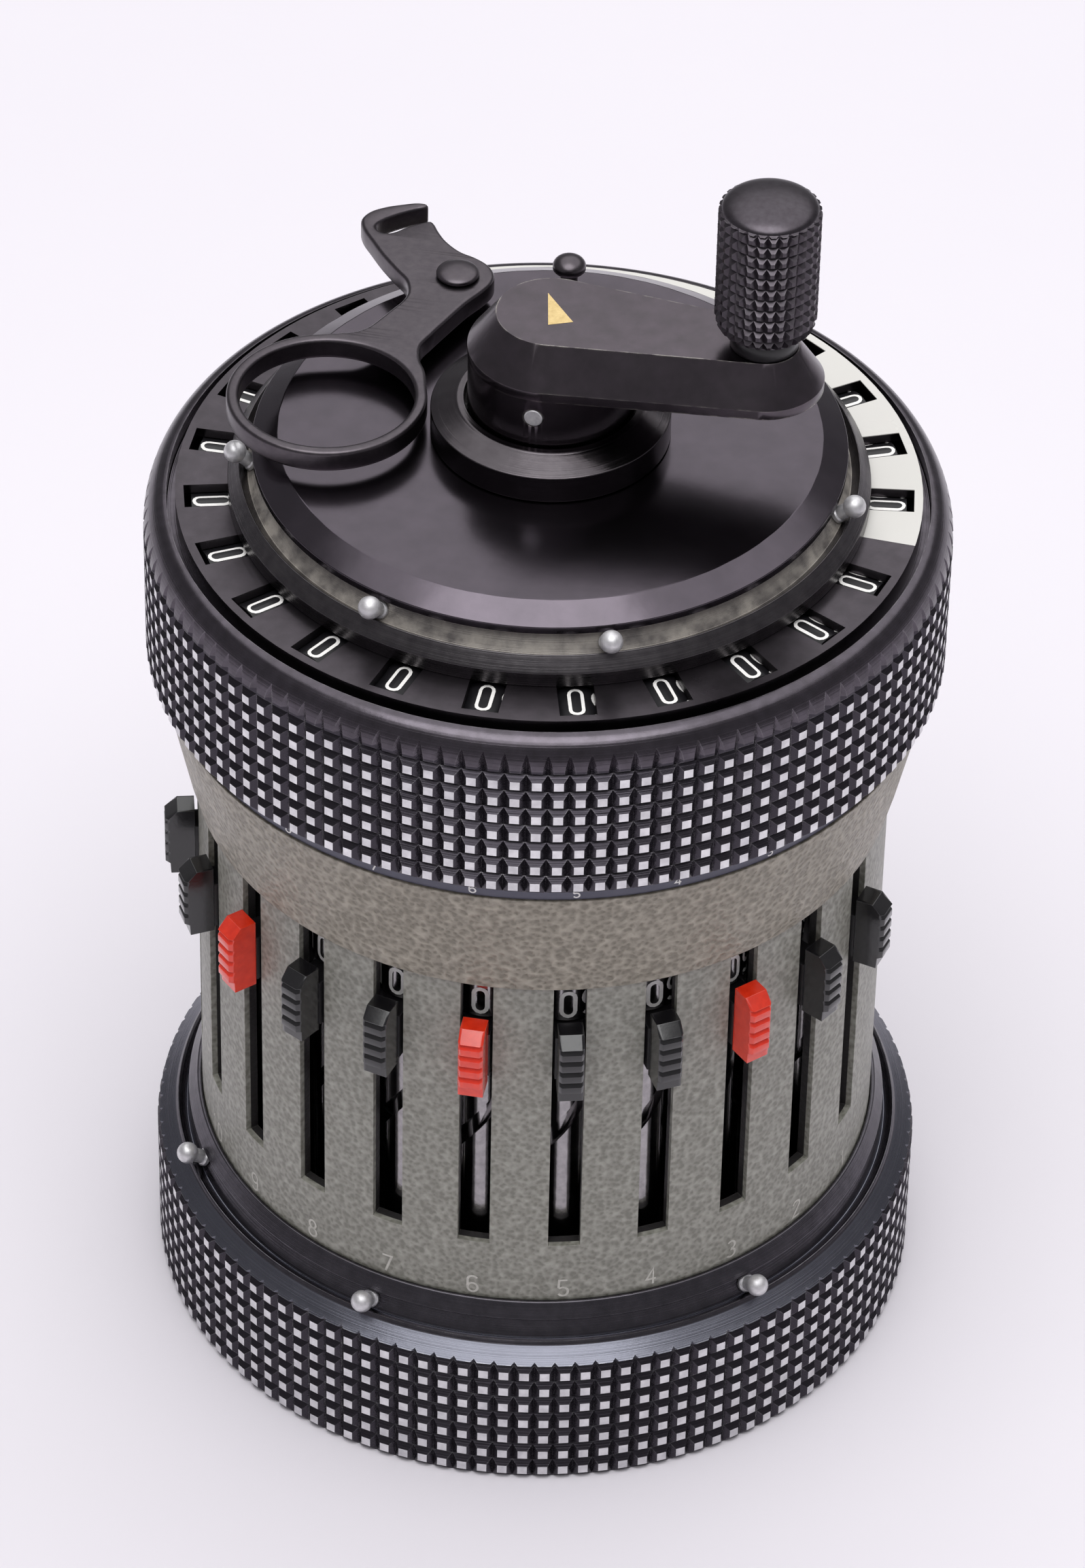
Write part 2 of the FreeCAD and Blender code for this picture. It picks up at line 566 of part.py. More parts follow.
for number, angle in enumerate(base_marker_angles, start=1):
    marker("base_marker_%d" % number, angle, base_cone_top, base_cone_foot, "baseGrooveOffset",
           "baseGrooveWidth")


# Inner frame

def bore_ring(body, circle, radius, rise, depth, start, count, angle, name, backward=False):
    """A row of equal holes on a circle, cut downward from a height."""
    sketch = new_sketch(body, "XY_Plane", name, rise, start)
    draw_circle(sketch, circle, "0", radius)
    cut = pocket(body, sketch, depth, name + "_cut")
    return around(body, cut, count, angle, backward)


setting_span = (slider_count - 1) * value("slotPitch")
black_span = (window_black - 1) * value("slotPitch")
white_span = (window_white - 1) * value("slotPitch")


def pivot_holes(body, rise, depth, name):
    """Holes for the setting spindles and for both rows of transmission shafts."""
    hole_radius = "pivotRadius + runningFit"
    bore_ring(body, "spindleCircle", hole_radius, rise, depth, "-slotPitch", slider_count,
              setting_span, name + "_spindles", True)
    bore_ring(body, "shaftCircle", hole_radius, rise, depth, "-slotPitch", window_black,
              black_span, name + "_shafts", True)
    bore_ring(body, "shaftCircle", hole_radius, rise, depth, "whiteStart", window_white,
              white_span, name + "_counters")


lower_plate = turned_body("lower_bearing_plate", [
    ("shaftRadius + runningFit", "lowerFoot"),
    ("bodyBore - plateGap", "lowerFoot"),
    ("bodyBore - plateGap", "lowerTop"), ("bearingBossRadius", "lowerTop"),
    ("bearingBossRadius", "lowerTop + bearingBossHeight"),
    ("shaftRadius + runningFit", "lowerTop + bearingBossHeight")])
pivot_holes(lower_plate, "lowerTop", "bearingPlateThickness", "lower")
bore_ring(lower_plate, "screwCircle", "screwRadius + screwPlay", "lowerTop",
          "bearingPlateThickness", "90", screw_count, 360, "lower_screws")
keep("lower_bearing_plate", lower_plate)

upper_plate = turned_body("upper_bearing_plate", [
    ("shaftRadius + runningFit", "tubeTop"), ("bodyRadius - plateGap", "tubeTop"),
    ("bodyRadius - plateGap", "upperTop"), ("guideShoulderRadius", "upperTop"),
    ("guideShoulderRadius", "guideShoulderTop"), ("guideRadius", "guideShoulderTop"),
    ("guideRadius", "guideTop"), ("shaftRadius + runningFit", "guideTop")])
pivot_holes(upper_plate, "upperTop", "bearingPlateThickness", "upper")
keep("upper_bearing_plate", upper_plate)


def tooth_space(radius):
    """Outline of the space between two gear teeth, wider at its mouth."""
    root = "(%s - toothDepth)" % radius
    mouth = "(%s + toothDepth)" % radius
    return [(root, "-toothSpace / 2"), (mouth, "-toothMouth / 2"), (mouth, "toothMouth / 2"),
            (root, "toothSpace / 2")]


shaft_blank = turned_body("transmission_blank", [
    ("0", "lowerFoot"), ("pivotRadius", "lowerFoot"), ("pivotRadius", "carrierFoot"),
    ("pinionRadius", "carrierFoot"), ("pinionRadius", "transmissionTop"),
    ("0", "transmissionTop")])
tooth_gap = new_sketch(shaft_blank, "XY_Plane", "pinion_gap", "transmissionTop")
draw_loop(tooth_gap, tooth_space("pinionRadius"))
gap_cut = pocket(shaft_blank, tooth_gap, "pinionHeight", "pinion_gap_cut")
around(shaft_blank, gap_cut, int(value("gearTeeth")), 360)
shaft_shape = shaft_blank.Shape.copy()
shaft_shape.translate(Vector(value("shaftCircle"), 0, 0))
setting_angles = [first_slot - step * value("slotPitch") for step in range(window_black)]
counter_angles = [value("whiteStart") + step * value("slotPitch") for step in range(window_white)]
group("transmission_shafts", [turned_copy(shaft_shape, angle)
                              for angle in setting_angles + counter_angles])


# Drive

ratchet = turned_body("ratchet_disc", [
    ("shaftRadius + runningFit", "ratchetFoot"), ("ratchetRadius", "ratchetFoot"),
    ("ratchetRadius", "ratchetTop"), ("shaftRadius + runningFit", "ratchetTop")])
catch = new_sketch(ratchet, "XY_Plane", "ratchet_notch", "ratchetTop")
draw_loop(catch, [("ratchetRadius - ratchetToothDepth", "0"),
                  ("ratchetRadius + ratchetToothDepth", "0"),
                  ("ratchetRadius + ratchetToothDepth", "ratchetToothDepth * 2")])
notch = pocket(ratchet, catch, "ratchetThickness", "ratchet_notch_cut")
around(ratchet, notch, int(value("ratchetTeeth")), 360)
pin_holes = new_sketch(ratchet, "XY_Plane", "drive_hole", "ratchetTop")
draw_circle(pin_holes, "drivePinCircle", "0", "drivePinRadius + drivePinPlay")
around(ratchet, pocket(ratchet, pin_holes, "ratchetThickness", "drive_hole_cut"), 2, 360)
keep("ratchet_disc", ratchet)

shaft = turned_body("main_shaft", [
    ("0", "shaftFoot"), ("shaftRadius", "shaftFoot"), ("shaftRadius", "shaftTop"),
    ("0", "shaftTop")])
pin_sketch = new_sketch(shaft, "XZ_Plane", "cross_hole", "-shaftRadius - cutBeyond")
draw_circle(pin_sketch, "0", "crossPinHeight", "crossPinRadius + runningFit")
pocket(shaft, pin_sketch, "2 * (shaftRadius + cutBeyond)", "cross_hole_cut", True)
crank_angle = value("crankAngle")
crank_turn = Rotation(Vector(0, 0, 1), crank_angle)
place_about_axis(shaft, crank_angle)
keep("main_shaft", shaft)

drum_body = turned_body("drum_blank", [
    ("shaftRadius + seatGap", "drumFoot"), ("drumRadius", "drumFoot"), ("drumRadius", "drumTop"),
    ("drumRadius - drumWall", "drumTop"), ("drumRadius - drumWall", "drumFoot + drumWeb"),
    ("drumHubRadius", "drumFoot + drumWeb"), ("drumHubRadius", "drumTop"),
    ("shaftRadius + seatGap", "drumTop")])
drum_pieces = [drum_body]
tooth_foot = "gearFoot - sliderTravel - drumToothRun"
for tooth in range(1, drum_teeth + 1):
    bar = doc.addObject("Part::Box", "drum_tooth_%d" % tooth)
    bar.setExpression("Length", bound("drumWall / 2 + drumToothReach"))
    bar.setExpression("Width", bound("drumToothWidth"))
    top = "gearTop - %d * digitStep" % tooth
    bar.setExpression("Height", bound("%s - (%s)" % (top, tooth_foot)))
    swing = Rotation(Vector(0, 0, 1), 90 + (tooth - (drum_teeth + 1) / 2) * value("drumToothPitch"))
    inner = Vector(value("drumRadius - drumWall / 2"), -value("drumToothWidth / 2"),
                   value(tooth_foot))
    bar.Placement = Placement(swing.multVec(inner), swing)
    drum_pieces.append(bar)
for side in (0, 180):
    drive_pin = doc.addObject("Part::Cylinder", "drive_pin_%d" % side)
    drive_pin.setExpression("Radius", bound("drivePinRadius"))
    drive_pin.setExpression("Height", bound("drumFoot + drumWeb / 2 - drivePinFoot"))
    spot = Rotation(Vector(0, 0, 1), side).multVec(Vector(value("drivePinCircle"), 0, 0))
    drive_pin.Placement = Placement(spot + Vector(0, 0, value("drivePinFoot")), Rotation())
    drum_pieces.append(drive_pin)
drum = doc.addObject("Part::MultiFuse", "stepped_drum")
drum.Shapes = drum_pieces
keep("stepped_drum", drum)


# Setting works

def knob_outline(reach, foot, height):
    """Side outline of a finger knob, with its outer corners taken off."""
    near = "bodyRadius + knobGap"
    far = "bodyRadius + " + reach
    top = "%s + %s" % (foot, height)
    return [(near, foot), (far + " - knobRound", foot), (far, foot + " + knobFootRound"),
            (far, top + " - knobTopRound"), (far + " - knobRound", top), (near, top)]


def side_block(body, points, width, name):
    """A block of even width about the XZ plane."""
    sketch = new_sketch(body, "XZ_Plane", name + "_outline")
    draw_loop(sketch, points)
    feature = body.newObject("PartDesign::Pad", name)
    feature.Profile = sketch
    feature.setExpression("Length", bound(width))
    feature.Midplane = True
    doc.recompute()
    return feature


def disc(body, circle, radius, foot, height, name):
    sketch = new_sketch(body, "XY_Plane", name + "_circle", foot)
    draw_circle(sketch, circle, "0", radius)
    return pad(body, sketch, height, name)


def setting_slider(number, angle):
    """Knob, stem, nut round the spindle and fork round the setting gear, with that gear."""
    name = "slider_%d" % number
    body = new_body(name + "_body")
    side_block(body, [("spindleCircle + spindleRadius + joinDepth", "stemFoot"),
                      ("bodyRadius + knobGap + stemSeat", "stemFoot"),
                      ("bodyRadius + knobGap + stemSeat", "nutTop"),
                      ("spindleCircle + spindleRadius + joinDepth", "nutTop")],
               "stemWidth", name + "_stem")
    side_block(body, knob_outline("knobReach", "knobFoot", "knobHeight"),
               "knobWidth", name + "_knob")
    disc(body, "spindleCircle", "nutBore + nutWall", "nutFoot", "nutHeight", name + "_nut")
    disc(body, "shaftCircle", "forkRadius", "forkFoot", "forkThickness", name + "_fork")
    side_block(body, [("shaftCircle + gearHubRadius + joinDepth", "forkFoot"),
                      ("spindleCircle - spindleRadius - joinDepth", "forkFoot"),
                      ("spindleCircle - spindleRadius - joinDepth", "forkFoot + forkThickness"),
                      ("shaftCircle + gearHubRadius + joinDepth", "forkFoot + forkThickness")],
               "forkArmWidth", name + "_arm")
    nut_hole = new_sketch(body, "XY_Plane", name + "_nut_hole", "stemFoot - cutBeyond")
    draw_circle(nut_hole, "spindleCircle", "0", "nutBore")
    pocket(body, nut_hole, "nutTop - stemFoot + 2 * cutBeyond", name + "_nut_cut", True)
    fork_hole = new_sketch(body, "XY_Plane", name + "_fork_hole", "forkFoot - cutBeyond")
    draw_circle(fork_hole, "shaftCircle", "0", "gearHubRadius + forkPlay")
    pocket(body, fork_hole, "forkThickness + 2 * cutBeyond", name + "_fork_cut", True)
    reach = "spindleCircle - spindleRadius"
    follower = new_sketch(body, "YZ_Plane", name + "_follower", reach + " + followerReach")
    draw_circle(follower, "0", "followerHeight", "followerRadius")
    pad(body, follower, "followerReach + followerSeat", name + "_follower_pin", True)

    gear = new_body(name + "_gear")
    disc(gear, "0", "gearRadius", "gearFoot", "gearThickness", name + "_gear_blank")
    gap = new_sketch(gear, "XY_Plane", name + "_gap", "gearTop")
    draw_loop(gap, tooth_space("gearRadius"))
    around(gear, pocket(gear, gap, "gearThickness", name + "_gap_cut"),
           int(value("gearTeeth")), 360)
    disc(gear, "0", "gearHubRadius", "gearFoot", "gearHubHeight", name + "_gear_hub")
    gear_bore = new_sketch(gear, "XY_Plane", name + "_gear_bore", "gearFoot - cutBeyond")
    draw_circle(gear_bore, "0", "0", "pivotRadius + runningFit")
    pocket(gear, gear_bore, "gearHubHeight + 2 * cutBeyond", name + "_gear_cut", True)
    gear.Placement = Placement(Vector(value("shaftCircle"), 0, 0), Rotation())
    gear.setExpression("Placement.Base.x", bound("shaftCircle"))
    doc.recompute()

    both = doc.addObject("Part::Compound", "setting_slider_%d" % number)
    both.Links = [body, gear]
    doc.recompute()
    place_about_axis(both, angle)
    return keep("setting_slider_%d" % number, both)


def setting_spindle(number, angle):
    """Spindle with a digit drum on top and a helical groove for the slider's follower."""
    name = "spindle_%d" % number
    body = turned_body(name, [
        ("0", "lowerFoot"), ("pivotRadius", "lowerFoot"), ("pivotRadius", "spindleFoot"),
        ("spindleRadius", "spindleFoot"), ("spindleRadius", "dialDrumFoot"),
        ("dialDrumRadius", "dialDrumFoot"), ("dialDrumRadius", "dialDrumTop"),
        ("pivotRadius", "dialDrumTop"), ("pivotRadius", "upperTop"), ("0", "upperTop")])
    thread_foot = "followerHeight - sliderTravel - helixMargin"
    profile = new_sketch(body, "XZ_Plane", name + "_thread")
    draw_loop(profile, [("spindleRadius - threadDepth", thread_foot + " - threadWidth / 2"),
                        ("spindleRadius + threadRunOut", thread_foot + " - threadWidth / 2"),
                        ("spindleRadius + threadRunOut", thread_foot + " + threadWidth / 2"),
                        ("spindleRadius - threadDepth", thread_foot + " + threadWidth / 2")])
    thread = body.newObject("PartDesign::SubtractiveHelix", name + "_groove")
    thread.Profile = profile
    thread.ReferenceAxis = (profile, ["V_Axis"])
    thread.Mode = 0
    thread.setExpression("Pitch", bound("helixPitch"))
    thread.setExpression("Height", bound("sliderTravel + 2 * helixMargin"))
    thread.LeftHanded = False
    doc.recompute()
    climb = (value("followerHeight") - value(thread_foot)) / value("helixPitch") * 360
    swing = Rotation(Vector(0, 0, 1), angle)
    spot = swing.multVec(Vector(value("spindleCircle"), 0, 0))
    body.Placement = Placement(spot, Rotation(Vector(0, 0, 1), angle + 180 - climb))
    return keep("setting_spindle_%d" % number, body)


for number in range(1, slider_count + 1):
    slot_angle = first_slot - (number - 1) * value("slotPitch")
    setting_slider(number, slot_angle)
    setting_spindle(number, slot_angle)

reverse = new_body("reversing_lever")
side_block(reverse, [("bodyBore - reverseSlideDepth + reverseSlideGap", "reverseFoot"),
                     ("bodyRadius + knobGap + stemSeat", "reverseFoot"),
                     ("bodyRadius + knobGap + stemSeat", "reverseTop"),
                     ("bodyBore - reverseSlideDepth + reverseSlideGap", "reverseTop")],
           "stemWidth", "reverse_stem")
side_block(reverse, knob_outline("reverseReach", "reverseFoot", "reverseHeight"),
           "reverseKnobWidth", "reverse_knob")
side_block(reverse, [("bodyBore - reverseSlideGap - reverseSlideDepth", "reverseFoot"),
                     ("bodyBore - reverseSlideGap", "reverseFoot"),
                     ("bodyBore - reverseSlideGap", "reverseTop"),
                     ("bodyBore - reverseSlideGap - reverseSlideDepth", "reverseTop")],
           "2 * slotWidth", "reverse_slide")
place_about_axis(reverse, 90)
keep("reversing_lever", reverse)


# Carriage

carriage_ring = turned_body("carriage_ring", [
    ("ringBore", "ringFoot"), ("knurlRadius - footChamfer", "ringFoot"),
    ("knurlRadius", "ringFoot + footChamfer"), ("knurlRadius", "rimTop"), ("rimRadius", "rimTop"),
    ("rimRadius", "ledgeHeight"), ("ledgeRadius", "ledgeHeight"),
    ("ledgeRadius", "ledgeHeight - ledgeThickness"), ("ringBore", "ledgeHeight - ledgeThickness")])
fillet(carriage_ring, ring_edge(carriage_ring.Shape, value("knurlRadius"), value("rimTop")),
       "rimRound", "rim_round")
keep("carriage_ring", carriage_ring)

window_plate = turned_body("window_plate", [
    ("plateBore", "plateUnder"), ("plateRadius - skirtWall", "plateUnder"),
    ("plateRadius - skirtWall", "ledgeHeight"), ("plateRadius", "ledgeHeight"),
    ("plateRadius", "plateTop"), ("plateBore", "plateTop")])
for row_name, start, count, span, backward in (
        ("black", "-slotPitch", window_black, black_span, True),
        ("white", "whiteStart", window_white, white_span, False)):
    window = new_sketch(window_plate, "XY_Plane", row_name + "_window", "plateTop", start)
    draw_loop(window, [("windowInner", "-windowWidth / 2"), ("windowOuter", "-windowWidth / 2"),
                       ("windowOuter", "windowWidth / 2"), ("windowInner", "windowWidth / 2")])
    opening = pocket(window_plate, window, "plateThickness", row_name + "_window_cut")
    around(window_plate, opening, count, span, backward)
keep("window_plate", window_plate)

# this groove's inner wall comes out in the ring's flat top, so that corner moves down onto it
top_groove = groove_corners(top_cone_top, top_cone_foot, "topGrooveOffset", "topGrooveWidth")
inner_mouth, inner_corner, outer_corner, outer_mouth = top_groove
cut_share = "(markerRingTop - (%s)) / (%s - (%s))" % (inner_corner[1], inner_mouth[1],
                                                      inner_corner[1])
inner_mouth = ("%s + %s * (%s - (%s))" % (inner_corner[0], cut_share, inner_mouth[0],
                                          inner_corner[0]), "markerRingTop")
marker_ring = turned_body("marker_ring", [
    ("plateBore", "plateTop"), ("markerRingRadius", "plateTop"), top_cone_foot, outer_mouth,
    outer_corner, inner_corner, inner_mouth, ("plateBore", "markerRingTop")])
keep("marker_ring", marker_ring)

for number, angle in enumerate(top_marker_angles, start=1):
    marker("top_marker_%d" % number, angle, top_cone_top, top_cone_foot, "topGrooveOffset",
           "topGrooveWidth")

wall_inner = "carrierRadius - carrierWall"
carrier = turned_body("dial_carrier", [
    ("carrierBore", "carrierFoot"), ("carrierHubRadius", "carrierFoot"),
    ("carrierHubRadius", "plateUnder"), (wall_inner, "plateUnder"),
    (wall_inner, "carrierWallFoot"), ("carrierRadius", "carrierWallFoot"),
    ("carrierRadius", "plateUnder"), ("plateBore - plateGap", "plateUnder"),
    ("plateBore - plateGap", "carrierTop"), ("springPocketRadius", "carrierTop"),
    ("springPocketRadius", "springPocketFloor"), ("carrierBore", "springPocketFloor")])
for row_name, start, count, span, backward in (
        ("result", "-slotPitch", window_black, black_span, True),
        ("counter", "whiteStart", window_white, white_span, False)):
    axle_sketch = new_sketch(carrier, "YZ_Plane", row_name + "_axle")
    axle_sketch.AttachmentOffset = Placement(Vector(), Rotation(Vector(0, 1, 0), value(start)))
    axle_sketch.setExpression("AttachmentOffset.Rotation.Angle", bound(start) + " * 1 deg")
    draw_circle(axle_sketch, "0", "dialAxisHeight", "dialAxleRadius + runningFit")
    axle_cut = pocket(carrier, axle_sketch, "carrierRadius + cutBeyond",
                      row_name + "_axle_cut", True)
    around(carrier, axle_cut, count, span, backward)
keep("dial_carrier", carrier)

dial = new_body("dial_blank")
dial_sketch = new_sketch(dial, "XZ_Plane", "dial_outline")
dial_sketch.AttachmentOffset = Placement(Vector(0, value("dialAxisHeight"), 0), Rotation())
dial_sketch.setExpression("AttachmentOffset.Base.y", bound("dialAxisHeight"))
draw_loop(dial_sketch, [
    ("crownInner", "0"), ("dialOuter", "0"), ("dialOuter", "dialRadius"),
    ("dialInner", "dialRadius"), ("dialInner", "dialAxleRadius"),
    ("crownInner + crownThickness", "dialAxleRadius"),
    ("crownInner + crownThickness", "crownRadius"), ("crownInner", "crownRadius")])
dial_turn = dial.newObject("PartDesign::Revolution", "dial_turned")
dial_turn.Profile = dial_sketch
dial_turn.ReferenceAxis = (dial_sketch, ["H_Axis"])
dial_turn.Angle = 360
doc.recompute()
units_angle = counter_angles[-1]
group("number_dials", [turned_copy(dial.Shape, angle)
                       for angle in setting_angles + counter_angles[:-1]])
group("counter_units_dial", [turned_copy(dial.Shape, units_angle)])

washer = turned_body("thrust_washer", [
    ("guideRadius + runningFit", "washerFoot"), ("washerRadius", "washerFoot"),
    ("washerRadius", "washerTop"), ("guideRadius + runningFit", "washerTop")])
keep("thrust_washer", washer)

nut = turned_body("guide_nut", [
    ("guideRadius + seatGap", "nutRingFoot"), ("washerRadius", "nutRingFoot"),
    ("washerRadius", "guideTop"), ("guideRadius + seatGap", "guideTop")])
keep("guide_nut", nut)


def arc_pair(start, start_way, end, end_way):
    """Two arcs that join two points, each leaving along its own direction."""
    span = end - start
    ways = start_way + end_way
    spread = 2 * (1 - start_way.dot(end_way))
    along = span.dot(ways)
    reach = (-along + math.sqrt(along * along + spread * span.dot(span))) / spread
    control_a = start + start_way * reach
    control_b = end - end_way * reach
    joint = (control_a + control_b) * 0.5
    arcs = []
    for first, control, last in ((start, control_a, joint), (joint, control_b, end)):
        way_a = (control - first).normalize()
        chord = last - first
        turn = math.acos(max(-1.0, min(1.0, way_a.dot((last - control).normalize()))))
        sagitta = chord.Length / 2 * math.tan(turn / 4)
        bulge = (control - (first + last) * 0.5).normalize()
        arcs.append(Part.Arc(first, (first + last) * 0.5 + bulge * sagitta, last).toShape())
    return arcs


def coil(foot, top, mean, wire, turns):
    """One unbroken round wire wound about Z; its ends stay inside the two heights."""
    play = value("seatGap")
    low = foot + wire / 2 + play
    rise = (top - foot - wire - 2 * play) / turns
    quarters = int(turns * 4)
    slope = rise / (2 * math.pi)

    def spot(step):
        angle = step * math.pi / 2
        return Vector(mean * math.cos(angle), mean * math.sin(angle), low + rise * step / 4)

    def way(step):
        angle = step * math.pi / 2
        return Vector(-mean * math.sin(angle), mean * math.cos(angle), slope).normalize()

    edges = []
    for step in range(quarters):
        edges += arc_pair(spot(step), way(step), spot(step + 1), way(step + 1))
    path = Part.Wire(edges)
    ring = Part.Wire([Part.makeCircle(wire / 2, spot(0), way(0))])
    print("coil: least gap between turns %.2f mm" % (rise - wire))
    return path.makePipeShell([ring], True, False)


spring = doc.addObject("Part::Feature", "carriage_spring")
spring.Shape = coil(value("washerTop"), value("nutRingFoot"), value("springMean"),
                    value("springWire"), value("springTurns"))
keep("carriage_spring", spring)


# Clearing plate, hub collar and clearing lever

def polar(radius, angle):
    """A point given by its distance and direction, as a pair of expressions."""
    turn = "((%s) * 1 deg)" % angle
    return ("(%s) * cos%s" % (radius, turn), "(%s) * sin%s" % (radius, turn))


clear_plate = turned_body("clearing_plate", [
    ("collarSleeve + clearPlay", "carrierTop + clearPlay"),
    ("clearHubRadius", "carrierTop + clearPlay"), ("clearHubRadius", "clearUnder"),
    ("clearRadius", "clearUnder"), ("clearRadius", "clearEdge"),
    ("clearFlatRadius", "clearTop"), ("collarSleeve + clearPlay", "clearTop")])
ring_middle = polar("ringCircle", "ringPlace")
ring_reach = polar("ringDistance", "ringAngle")
rivet_spot = (ring_middle[0] + " - " + ring_reach[0], ring_middle[1] + " - " + ring_reach[1])
hook_reach = polar("hookCircle", "studAngle")
stud_spot = (rivet_spot[0] + " + " + hook_reach[0], rivet_spot[1] + " + " + hook_reach[1])
for hole_name, spot, radius in (("rivet", rivet_spot, "rivetRadius"),
                                ("stud", stud_spot, "studNeckRadius")):
    seat_sketch = new_sketch(clear_plate, "XY_Plane", hole_name + "_seat", "clearTop")
    draw_circle(seat_sketch, spot[0], spot[1], radius + " + seatGap")
    pocket(clear_plate, seat_sketch, "clearThickness", hole_name + "_seat_cut")
keep("clearing_plate", clear_plate)

collar = turned_body("hub_collar", [
    ("springPocketRadius", "carrierTop"), ("collarSleeve", "carrierTop"),
    ("collarSleeve", "clearTop + clearPlay"), ("collarRadius", "clearTop + clearPlay"),
    ("collarRadius", "collarEdge"), ("collarConeRadius", "collarTop"), ("collarBore", "collarTop"),
    ("collarBore", "collarFloor"), ("springPocketRadius", "collarFloor")])
keep("hub_collar", collar)

lever = new_body("clearing_lever")
arm_sketch = new_sketch(lever, "XY_Plane", "lever_arm", "leverFoot")
draw_loop(arm_sketch, [polar(reach, turn) for reach, turn in (
    ("tailTipReach", "hookAngle - tailTipTurn"), ("tailCrownReach", "hookAngle - tailCrownTurn"),
    ("tailBackReach", "hookAngle + tailBackTurn"), ("waistReach", "ringAngle - waistTurn"),
    ("neckReach", "ringAngle - neckTurn"), ("ringJoinReach", "ringAngle - ringJoinTurn"),
    ("ringJoinReach", "ringAngle + ringJoinTurn"), ("headRadius", "ringAngle + headOuterTurn"),
    ("headRadius", "hookAngle - headInnerTurn"), ("shoulderReach", "hookAngle - shoulderTurn"),
    ("tailRootReach", "hookAngle - tailRootTurn"))])
pad(lever, arm_sketch, "leverThickness", "arm_pad")
disc(lever, "0", "headRadius", "leverFoot", "leverThickness", "head_pad")
ring_sketch = new_sketch(lever, "XY_Plane", "finger_ring", "leverFoot")
draw_circle(ring_sketch, *ring_reach, "fingerRingRadius")
pad(lever, ring_sketch, "leverThickness", "ring_pad")
finger_hole = new_sketch(lever, "XY_Plane", "finger_hole", "leverFoot")
draw_circle(finger_hole, *ring_reach, "fingerHoleRadius")
pocket(lever, finger_hole, "leverThickness", "finger_hole_cut", True)
rivet_hole = new_sketch(lever, "XY_Plane", "rivet_hole", "leverFoot")
draw_circle(rivet_hole, "0", "0", "rivetRadius + runningFit")
pocket(lever, rivet_hole, "leverThickness", "rivet_hole_cut", True)
hook_sketch = new_sketch(lever, "XY_Plane", "hook_end", "leverFoot")
draw_circle(hook_sketch, *polar("hookCircle", "hookAngle"), "hookWidth / 2")
pocket(lever, hook_sketch, "leverThickness", "hook_end_cut", True)
channel = new_sketch(lever, "XY_Plane", "hook_channel", "leverFoot")
hook_steps = 4
hook_turns = ["hookAngle - %d * hookOpen / %d" % (step, hook_steps)
              for step in range(hook_steps + 1)]
inner_side = [polar("hookCircle - hookWidth / 2", turn) for turn in hook_turns]
outer_side = [polar("hookCircle + hookWidth / 2", turn) for turn in reversed(hook_turns)]
draw_loop(channel, inner_side + outer_side)
pocket(lever, channel, "leverThickness", "hook_channel_cut", True)
lever.Placement = Placement(Vector(value(rivet_spot[0]), value(rivet_spot[1]), 0), Rotation())
keep("clearing_lever", lever)

rivet = turned_body("lever_rivet", [
    ("0", "rivetFoot"), ("rivetRadius", "rivetFoot"), ("rivetRadius", "clearTop"),
    ("rivetHeadRadius", "clearTop"), ("rivetHeadRadius", "leverFoot - clearPlay"),
    ("rivetRadius", "leverFoot - clearPlay"), ("rivetRadius", "leverTop + clearPlay"),
    ("rivetHeadRadius", "leverTop + clearPlay"), ("rivetCrownRadius", "rivetTop"),
    ("0", "rivetTop")])
rivet.Placement = Placement(Vector(value(rivet_spot[0]), value(rivet_spot[1]), 0), Rotation())
keep("lever_rivet", rivet)

stud = turned_body("lever_stop_stud", [
    ("0", "rivetFoot"), ("studNeckRadius", "rivetFoot"), ("studNeckRadius", "studHeadFoot"),
    ("studHeadRadius", "studHeadFoot + studHeadSlope"),
    ("studHeadRadius", "studTop - 2 * studHeadSlope"), ("studCrownRadius", "studTop"),
    ("0", "studTop")])
stud.Placement = Placement(Vector(value(stud_spot[0]), value(stud_spot[1]), 0), Rotation())
keep("lever_stop_stud", stud)


# Crank

def draw_pear(sketch, near_radius, far_radius):
    """Outline of two round ends joined by their tangents, the near end on the shaft's axis."""
    near = value(near_radius)
    far = value(far_radius)
    length = value("armLength")
    lean = math.acos((near - far) / length)
    up = Vector(0, 0, 1)
    near_arc = Part.ArcOfCircle(Part.Circle(Vector(0, 0, 0), up, near), lean, 2 * math.pi - lean)
    far_arc = Part.ArcOfCircle(Part.Circle(Vector(length, 0, 0), up, far), -lean, lean)
    sketch.addGeometry(near_arc, False)
    sketch.addGeometry(far_arc, False)
    side = Vector(math.cos(lean), math.sin(lean), 0)
    mirror = Vector(side.x, -side.y, 0)
    middle = Vector(length, 0, 0)
    sketch.addGeometry(Part.LineSegment(mirror * near, middle + mirror * far), False)
    sketch.addGeometry(Part.LineSegment(middle + side * far, side * near), False)
    for first, first_end, next_item, next_end in ((0, 2, 2, 1), (2, 2, 1, 1), (1, 2, 3, 1),
                                                  (3, 2, 0, 1)):
        sketch.addConstraint(
            Sketcher.Constraint("Tangent", first, first_end, next_item, next_end))
    sketch.addConstraint(Sketcher.Constraint("Coincident", 0, 3, -1, 1))
    sketch.addConstraint(Sketcher.Constraint("PointOnObject", 1, 3, -1))
    bind_distance(sketch, "DistanceX", 1, 3, "armLength")
    for item, radius in ((0, near_radius), (1, far_radius)):
        spot = sketch.addConstraint(Sketcher.Constraint("Radius", item, value(radius)))
        sketch.setExpression("Constraints[%d]" % spot, bound(radius))


